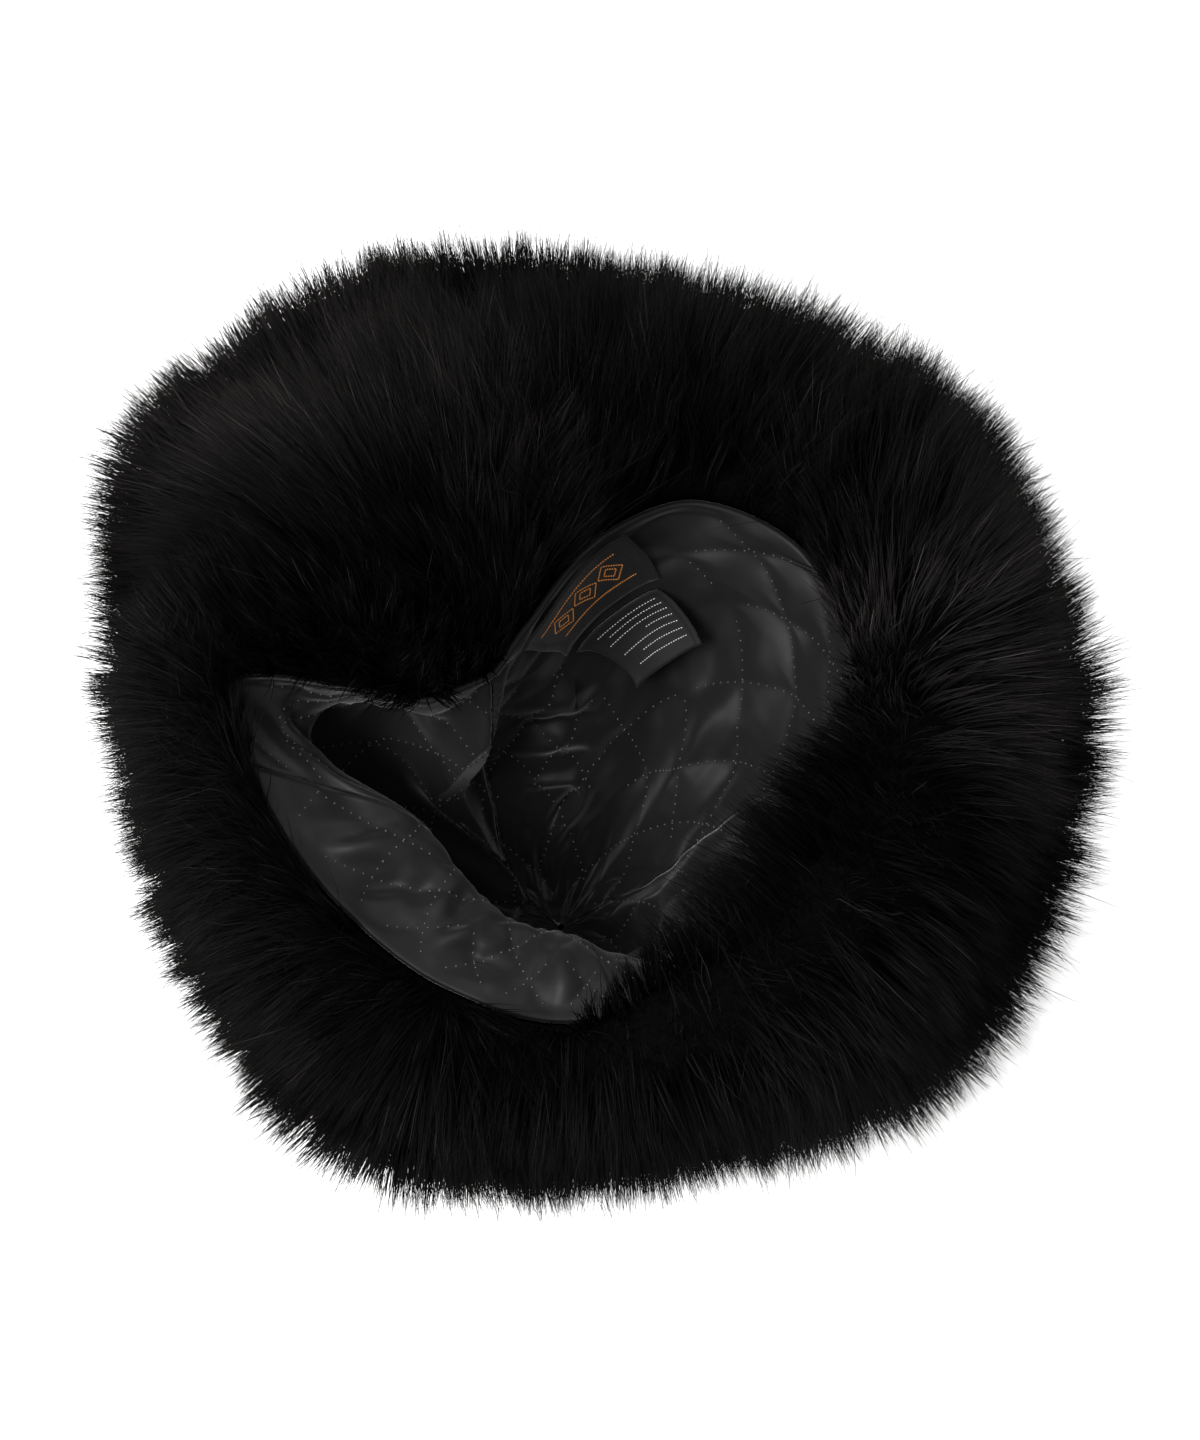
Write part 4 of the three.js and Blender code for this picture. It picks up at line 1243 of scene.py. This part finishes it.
# %% How the pile runs
PILE_COLUMNS = ("way", "lean", "length")
FLAP_PILE = [
    (0.0, 80, 0.7),
    (0.35, 76, 0.8),
    (0.8, 72, 0.88),
    (1.2, 68, 0.94),
    (1.5, 62, 0.98),
    (1.8, 58, 1.0),
    (2.3, 60, 1.0),
    (2.8, 56, 1.0),
    (3.3, 46, 0.95),
    (3.9, 36, 0.9),
]
FULL_PILE_WAY = 1.7  # how far over the crest the pile reaches its full height where it is pressed down
COAT_ROWS = [(0, 0.28), (0.8, 0.3), (1.5, 0.42), (2.2, 0.5), (5, 0.5)]  # height of the undercoat in the pile
OVERHANG_COLUMNS = ("turn", "inwards", "longer")
OVERHANG_ROWS = [
    (0, 70, 1.6),
    (14, 40, 1.15),
    (28, 16, 1),
    (66, 4, 1),
    (100, 8, 1),
    (120, 26, 1),
    (145, 24, 1),
    (160, 0, 1),
    (175, -10, 1),
    (262, -10, 1),
    (285, 14, 1),
    (300, 48, 1.1),
    (318, 78, 1.5),
    (335, 88, 1.85),
    (350, 86, 1.85),
]
OVERHANG_WAY = 1.1
LONG_HAIR_DROP = 0.34  # how much further the longest hairs lie over, as a share of their lean


def pile_column(rows, name, way):
    table = np.array(rows, float)
    return np.interp(way, table[:, 0], table[:, PILE_COLUMNS.index(name)])


def pile_stand(turn, way):
    """Share of its full height that the fur has, less beside the rim where the lining is turned out."""
    share = np.clip(way / FULL_PILE_WAY, 0, 1)
    eased = share * share * (3 - 2 * share)
    stand = crown_column("stand", turn)
    return stand + (1 - stand) * eased


def pile_lean(rows, turn, way):
    """Angle of the hairs to the cloth. Past 90 degrees they hang over the rim."""
    inwards = around(OVERHANG_ROWS, OVERHANG_COLUMNS, "inwards", turn)
    lean = pile_column(rows, "lean", way) * (0.38 + 0.62 * pile_stand(turn, way))
    lean = lean * (1 - LONG_HAIR_DROP * np.clip(pile_reach(turn, way) - 1, 0, 1))
    return lean + inwards * np.clip(1 - way / OVERHANG_WAY, 0, 1) ** 0.7


def pile_length(rows, full_length, turn, way):
    standing = 0.7 + 0.3 * pile_stand(turn, way)
    longer = around(OVERHANG_ROWS, OVERHANG_COLUMNS, "longer", turn)
    over = 1 + (longer - 1) * np.clip(1 - way / OVERHANG_WAY, 0, 1)
    return full_length * pile_column(rows, "length", way) * standing * over * pile_reach(turn, way)


def coat_height(rows, full_length, turn, way):
    """Height of the undercoat above the cloth, which rises slowly where the pile is pressed down."""
    lean = np.radians(np.clip(pile_lean(rows, turn, way), 20, 90))
    rise = np.clip(way / (0.2 + 1.8 * (1 - crown_column("stand", turn))), 0, 1)
    share = np.interp(way, [row[0] for row in COAT_ROWS], [row[1] for row in COAT_ROWS])
    return share * pile_length(rows, full_length, turn, way) * np.sin(lean) * rise


crest_pile = pile_length(FLAP_PILE, FLAP_FUR, np.array([90.0]), np.array([CREST_WAY]))
print("the pile at the crest is", round(float(crest_pile[0])), "mm long behind")

# %% [markdown]
# A strand needs a root and a path. The roots are drawn at random, so many to a square millimetre of
# cloth. A path starts along the lean of the pile, bends with its own weight and stays above the
# floor, and the tallest hairs bend over, as they do on a hat that lies under its own pile.

# %% Roots and paths
def scatter_roots(density, way_low, way_high, turn_low, turn_high, source):
    """Roots spread evenly over the cloth, so many to a square millimetre, as turns and ways."""
    turns = np.arange(turn_low, turn_high, 1.0)
    ways = np.linspace(way_low, way_high, 60)
    grid_turn, grid_way = np.meshgrid(turns, ways, indexing="ij")
    points = crown_cloth.at(grid_turn, grid_way)
    side = np.linalg.norm(np.gradient(points, axis=0), axis=-1)
    down = np.linalg.norm(np.gradient(points, axis=1), axis=-1)
    area = side * down
    count = int(area.sum() * density)
    chosen = source.choice(area.size, count, p=(area / area.sum()).ravel())
    i, j = np.unravel_index(chosen, area.shape)
    turn = np.minimum(turns[i] + source.uniform(0, 1, count), turn_high - 0.01)
    way = ways[j] + source.uniform(-0.5, 0.5, count) * (ways[1] - ways[0])
    return turn, np.clip(way, way_low, way_high)


def hair_paths(turn, way, lean, aside, length, droop, shares):
    """Paths of hairs at shares of their length from the root, as (hairs, steps, 3), in millimetres."""
    root = crown_cloth.at(turn, way)
    normal = crown_cloth.normal_at(turn, way)
    ahead = crown_cloth.ahead_at(turn, way)
    side = np.cross(normal, ahead)
    lean, aside = np.radians(lean)[:, None], np.radians(aside)[:, None]
    flow = ahead * np.cos(aside) + side * np.sin(aside)
    direction = normal * np.sin(lean) + flow * np.cos(lean)
    share = shares[:, :, None]
    bend = flow[:, None] * 0.2 + np.array([0, 0, -1.0]) * droop[:, None, None]
    reached = direction[:, None] * share * (1 - 0.06 * share) + bend * share**2
    return root[:, None] + length[:, None, None] * reached, normal


print("roots and paths ready")

# %% [markdown]
# Hairs clump. Each hair is drawn towards the nearest of a sparser set of guide hairs, one for each
# lock, more at its tip than at its root. A few strays are left out of the locks. Locks differ in
# lean, direction and length, by chance and by waves that are tens of millimetres long.

# %% Locks
FUR_FLOOR = 0.8
BENT_FROM = 158  # the tallest hairs bend over above this height
TALLEST = 176
LOCK_DENSITY = 0.05  # locks to a square millimetre
KINDS = {
    "underfur": {"short": 0.8, "long": 1.1, "steps": 3, "width": 0.5, "density": 1.68, "pull": 0.4},
    "guard_hair": {"short": 1.0, "long": 1.28, "steps": 4, "width": 0.36, "density": 0.6, "pull": 0.55},
}


def pile_waves(points):
    """Broad and fine waves in the pile's direction, in degrees."""
    broad = value_noise(points, 30.0, 21)
    fine = value_noise(points, 9.0, 22)
    return 14 * broad + 13 * fine


def grow_fur(turn, way, rows, full_length, kind, locks, source):
    """Strand paths gathered into locks, and the cloth's normal at their roots."""
    count = len(turn)
    roots = crown_cloth.at(turn, way)
    lock_turn, lock_way = locks
    lock_roots = crown_cloth.at(lock_turn, lock_way)
    lock_lean = pile_lean(rows, lock_turn, lock_way) + source.normal(0, 7, len(lock_turn))
    lock_lean += 9 * value_noise(lock_roots, 16.0, 23)
    lock_aside = pile_aside(lock_turn, lock_way) + source.normal(0, 12, len(lock_turn))
    lock_aside += pile_waves(lock_roots)
    lock_length = pile_length(rows, full_length, lock_turn, lock_way) * source.normal(1, 0.08, len(lock_turn))
    tree = KDTree(len(lock_turn))
    for index, place in enumerate(lock_roots):
        tree.insert(place, index)
    tree.balance()
    mine = np.array([tree.find(place)[1] for place in roots])
    stray = source.random(count) < 0.1
    calm = np.where(stray, 2.6, 1.0)
    lean = pile_lean(rows, turn, way) + (lock_lean - pile_lean(rows, lock_turn, lock_way))[mine]
    lean += source.normal(0, 5, count) * calm
    aside = lock_aside[mine] + source.normal(0, 8, count) * calm
    length = pile_length(rows, full_length, turn, way) * source.uniform(kind["short"], kind["long"], count)
    length *= np.where(stray, 1.05, 1)
    droop = source.normal(0.1, 0.035, count)
    hidden = 0.8 * coat_height(rows, full_length, turn, way)
    start = np.clip(hidden / (length * np.sin(np.radians(np.clip(lean, 25, 90)))), 0, 0.6)
    shares = start[:, None] + (1 - start[:, None]) * np.linspace(0, 1, kind["steps"])
    path, normal = hair_paths(turn, way, lean, aside, length, droop, shares)
    guide, _ = hair_paths(
        lock_turn[mine], lock_way[mine], lock_lean[mine], lock_aside[mine],
        np.minimum(lock_length[mine], length * 1.1), np.full(count, 0.1), shares,
    )
    pull = np.where(stray, 0.0, kind["pull"] * source.uniform(0.5, 1.4, count))
    path = path + (guide - path) * pull[:, None, None] * shares[:, :, None] ** 1.6
    path[..., 2] = np.maximum(path[..., 2], FUR_FLOOR)
    over = np.maximum(path[..., 2] - BENT_FROM, 0)
    room = TALLEST - BENT_FROM
    path[..., 2] = np.minimum(path[..., 2], BENT_FROM) + room * (1 - np.exp(-over / room))
    return path, normal


print("kinds of hair:", list(KINDS))

# %% [markdown]
# The pile has light and dark patches as large as a hand, where it is brushed up or down and so catches the
# light or turns from it, and a few single hairs that are much lighter where they glint. Both are painted into
# the hairs' colour. A table round the hat gives the patches as painted light and painted shade, a tone for
# each hair, with painted shade beside the rim where the hairs stand end on, and a random mottle over it.

# %% Painted light and shade of the pile
GLINT_HAIR_SHARE = 0.03  # share of the hairs that are much lighter, as a painted glint
GLINT_HAIR_GAIN = 2.2  # how much lighter the painted glint makes them
PAINTED_LIGHT_COLUMNS = ("azimuth", "inner", "crest", "edge")
# Painted light and shade round the hat: inner is painted shade beside the rim, crest and edge are lighter
# where the pile catches the light and darker where it does not
PAINTED_LIGHT_ROWS = [
    (0, 2.0, 1.1, 0.24),
    (10, 1.5, 0.8, 0.24),
    (20, 0.8, 0.4, 0.22),
    (30, 0.45, 0.2, 0.2),
    (42, 0.45, 0.2, 0.22),
    (62, 0.45, 0.18, 0.22),
    (90, 0.4, 0.16, 0.2),
    (106, 0.35, 0.2, 0.25),
    (115, 0.35, 0.25, 0.3),
    (120, 0.4, 0.85, 1.05),
    (135, 0.5, 1.05, 1.2),
    (150, 0.45, 0.8, 0.95),
    (158, 0.45, 0.32, 0.38),
    (172, 0.45, 0.3, 0.32),
    (196, 0.5, 0.38, 0.42),
    (215, 0.5, 0.5, 0.55),
    (240, 0.5, 0.5, 0.5),
    (262, 0.45, 0.4, 0.45),
    (285, 0.45, 0.45, 0.52),
    (305, 0.45, 0.5, 0.58),
    (320, 0.45, 0.5, 0.4),
    (335, 0.5, 0.35, 0.24),
    (348, 1.5, 0.8, 0.2),
]


def pile_mottle_and_painted_light(turn, way, points):
    """How light the pile is at a place, as painted light and shade: lit and shaded patches, painted shade
    beside the rim, and a random mottle.
    """
    azimuth = azimuth_at(turn, way)
    crest = around(PAINTED_LIGHT_ROWS, PAINTED_LIGHT_COLUMNS, "crest", azimuth)
    edge = around(PAINTED_LIGHT_ROWS, PAINTED_LIGHT_COLUMNS, "edge", azimuth)
    inner = around(PAINTED_LIGHT_ROWS, PAINTED_LIGHT_COLUMNS, "inner", azimuth)
    level = crest + (edge - crest) * edge_share(way)
    level = inner + (level - inner) * np.clip((way - 0.5) / 1.0, 0, 1)
    mottled = 1 + 0.45 * value_noise(points, 26.0, 41) + 0.35 * value_noise(points, 9.0, 42)
    return level * np.clip(mottled, 0.35, 2)


print(len(PAINTED_LIGHT_ROWS), "patches round the hat")

# %% [markdown]
# A real hair is round and far thinner than a pixel. A tube for each would cost many faces and look no
# better, so a strand is a flat ribbon that is turned by chance about its own length. It tapers to a
# point, because a blunt end would show as a speck against the white floor.

# %% Ribbons
def ribbons(name, path, normal, width, mottle_and_painted_light, source):
    """One mesh of ribbons along the paths, each tapering to a point, with its tone and its painted light and
    shade as attributes.
    """
    count, steps, _ = path.shape
    along = np.gradient(path, axis=1)
    along /= np.maximum(np.linalg.norm(along, axis=-1, keepdims=True), 1e-6)
    tilt = source.uniform(-1.2, 1.2, count)[:, None]
    facing = normal * np.cos(tilt) + np.cross(along[:, 0], normal) * np.sin(tilt)
    across = np.cross(along, facing[:, None])
    across /= np.maximum(np.linalg.norm(across, axis=-1, keepdims=True), 1e-6)
    taper = (1 - (np.arange(steps) / (steps - 1)) ** 1.5)[None, :, None] * 0.5
    half = across * (width[:, None, None] * taper)
    left = (path + half)[:, :-1]
    right = (path - half)[:, :-1]
    body = np.stack([left, right], 2).reshape(count, 2 * (steps - 1), 3)
    points = np.concatenate([body, path[:, -1:]], 1)
    per_hair = points.shape[1]
    quads = [(2 * k, 2 * k + 1, 2 * k + 3, 2 * k + 2) for k in range(steps - 2)]
    piece = mesh_from_arrays(name, points, [*quads, (per_hair - 3, per_hair - 2, per_hair - 1)], fur_finish)
    place = np.repeat(np.arange(steps) / (steps - 1), 2)[: per_hair]
    tone = source.random(count)
    # The few hairs with the highest tone are made much lighter as a painted glint
    hair_values = {
        "along": np.tile(place, count),
        "tone": np.repeat(tone, per_hair),
        "mottle_and_painted_light": np.repeat(mottle_and_painted_light * (1 + GLINT_HAIR_GAIN * (tone > 1 - GLINT_HAIR_SHARE)), per_hair),
    }
    for label, values in hair_values.items():
        layer = piece.data.attributes.new(label, "FLOAT", "POINT")
        layer.data.foreach_set("value", values.astype(np.float32))
    settle_mesh(piece.data)
    print(name, count, "strands,", count * (2 * (steps - 2) + 1), "triangles")
    return piece


print("a guard hair has", 2 * (KINDS["guard_hair"]["steps"] - 2) + 1, "triangles")

# %% [markdown]
# Each flap gets its own two pieces of pile: a short dense underfur, and longer and sparser guard hair
# that stands out of it. Both share the same locks, so that they part at the same places.

# %% Flap fur
FLAPS = {
    "ear_flap_right": (29, 102),
    "ear_flap_left": (102, 205.5),
    "front_flap": (205.5, 389),
}
FLAP_END_WAY = 3.9
source = np.random.default_rng(RANDOM_SEED)
detail = 1.0


def fur_pieces(label, rows, full_length, way_low, way_high, turn_low, turn_high, thickness=1.0):
    """The underfur and guard hair of one stretch of pile."""
    locks = scatter_roots(LOCK_DENSITY, way_low, way_high, turn_low, turn_high, source)
    made = []
    for kind_name, kind in KINDS.items():
        density = kind["density"] * thickness * detail
        turn, way = scatter_roots(density, way_low, way_high, turn_low, turn_high, source)
        path, normal = grow_fur(turn, way, rows, full_length, kind, locks, source)
        width = kind["width"] * source.uniform(0.65, 1.1, len(turn)) / math.sqrt(detail)
        # Painted light and shade, with a random mottle, for each hair
        mottle_and_painted_light = pile_mottle_and_painted_light(turn, way, path[:, 0])
        made.append(ribbons(f"{label}_{kind_name}", path, normal, width, mottle_and_painted_light, source))
    return made


fur = {}
for flap, (turn_low, turn_high) in FLAPS.items():
    fur[flap] = fur_pieces(flap, FLAP_PILE, FLAP_FUR, 0.0, FLAP_END_WAY, turn_low, turn_high)

# %% [markdown]
# Under the long hairs a real pile has a dense short undercoat that no light gets through. A dark
# surface part of the way up the hairs does the same: it hides the cloth, and the hairs that show are
# only the outer ones. It is a grid laid a little way off the cloth, with a wall.

# %% Undercoat
def undercoat_finish():
    material, nodes, links, shader = new_material("undercoat", roughness=1.0, specular=0.02)
    noise = nodes.new("ShaderNodeTexNoise")
    noise.inputs["Scale"].default_value = 700.0
    place = nodes.new("ShaderNodeTexCoord")
    links.new(place.outputs["Object"], noise.inputs["Vector"])
    ramp = nodes.new("ShaderNodeValToRGB")
    ramp.color_ramp.elements[0].color = (0.0004, 0.0004, 0.0004, 1)
    ramp.color_ramp.elements[1].color = (0.002, 0.0018, 0.0017, 1)
    links.new(noise.outputs["Fac"], ramp.inputs["Fac"])
    links.new(ramp.outputs["Color"], shader.inputs["Base Color"])
    relief = nodes.new("ShaderNodeBump")
    relief.inputs["Distance"].default_value = 1.5 * MM
    links.new(noise.outputs["Fac"], relief.inputs["Height"])
    links.new(relief.outputs["Normal"], shader.inputs["Normal"])
    return material


undercoat_material = undercoat_finish()
COAT_EDGE = 1.5  # height of the undercoat at its edges


def undercoat_place(turn_low, turn_high, way_low, way_high):
    def place(u, v):
        turn = turn_low + (turn_high - turn_low) * u
        way = way_low + (way_high - way_low) * v
        edge = np.clip((1 - v) / 0.06, 0, 1) ** 0.5
        tall = coat_height(FLAP_PILE, FLAP_FUR, turn, way)
        tall = tall * (1 + 0.25 * value_noise(crown_cloth.at(turn, way), 8.0, 31))
        tall = COAT_EDGE + (tall - COAT_EDGE) * edge
        point = crown_cloth.at(turn, way) + crown_cloth.normal_at(turn, way) * tall[:, None]
        point[:, 2] = np.maximum(point[:, 2], FUR_FLOOR)
        return point

    return place


def away_from_middle(points):
    return points - np.array([0, 0, 60.0])


undercoats = {}
for flap, (turn_low, turn_high) in FLAPS.items():
    columns = int((turn_high - turn_low) / 1.5)
    place = undercoat_place(turn_low + 0.02, turn_high - 0.02, 0, FLAP_END_WAY)
    coat = laid_grid(flap + "_undercoat", columns, 40, place, away_from_middle)
    coat.data.materials.append(undercoat_material)
    apply_modifier(coat, "SOLIDIFY", thickness=1.4 * MM, offset=-1)
    undercoats[flap] = coat
print("undercoats:", list(undercoats))

# %% [markdown]
# ## The crown
#
# Below the flaps the crown's own fur shows as a short fringe that lies outwards over the surface the
# hat rests on. The crown's cloth is a bowl under everything else, and only its flattened underside
# can be seen, from below. It is a grid wrapped right round and closed to a point in the middle.

# %% Crown cloth and fur
CROWN_PILE = [
    (3.7, 42, 1.0),
    (4.2, 34, 1.0),
    (4.6, 24, 1.0),
    (5.1, 8, 0.9),
]


def crown_place(u, v):
    turn = u * FULL_TURN
    way = 6 * v
    lift = np.interp(way, [0, 3.6, 4.4, 5.0, 6.0], [0.0, 0.0, BASE_FUR * 0.8, BASE_FUR, BASE_FUR])
    point = crown_cloth.at(turn, way) + crown_cloth.normal_at(turn, way) * lift[:, None]
    flat = np.clip((way - 4.9) / 0.15, 0, 1)
    point[:, 2] = np.maximum(point[:, 2] * (1 - flat), 0)
    return point


crown_cloth_piece = laid_grid("crown_cloth", 128, 64, crown_place, away_from_middle)
bpy.context.view_layer.objects.active = crown_cloth_piece
crown_cloth_piece.select_set(True)
bpy.ops.object.mode_set(mode="EDIT")
bpy.ops.mesh.select_all(action="SELECT")
bpy.ops.mesh.remove_doubles(threshold=0.02 * MM)
bpy.ops.object.mode_set(mode="OBJECT")
bpy.ops.object.select_all(action="DESELECT")
crown_cloth_piece.data.materials.append(undercoat_material)

crown_fur = fur_pieces("crown", CROWN_PILE, CROWN_FUR, 3.75, 5.05, 0, FULL_TURN, thickness=0.3)

# %% [markdown]
# ## Joining the frame
#
# Every piece now takes the place of its plain solid. It rides on the body that the solid rides on, so that it
# would move with it.

# %% Ride and replace
for name, gore in gores.items():
    for piece in (gore, quilting[name]):
        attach(piece, "root")
        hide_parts(name)
for name, slot in (("maker_label", "woven_label"), ("care_label", "ribbon_label")):
    for piece in (label_pieces[name], label_stitches[name]):
        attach(piece, "root")
        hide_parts(name)
for flap, strands in fur.items():
    for piece in [undercoats[flap], *strands]:
        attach(piece, "root")
        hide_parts(flap)
for piece in (crown_cloth_piece, *crown_fur):
    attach(piece, "root")
    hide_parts("crown")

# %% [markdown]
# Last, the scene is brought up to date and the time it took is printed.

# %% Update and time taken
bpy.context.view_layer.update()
print("seconds", round(time.time() - started, 1))
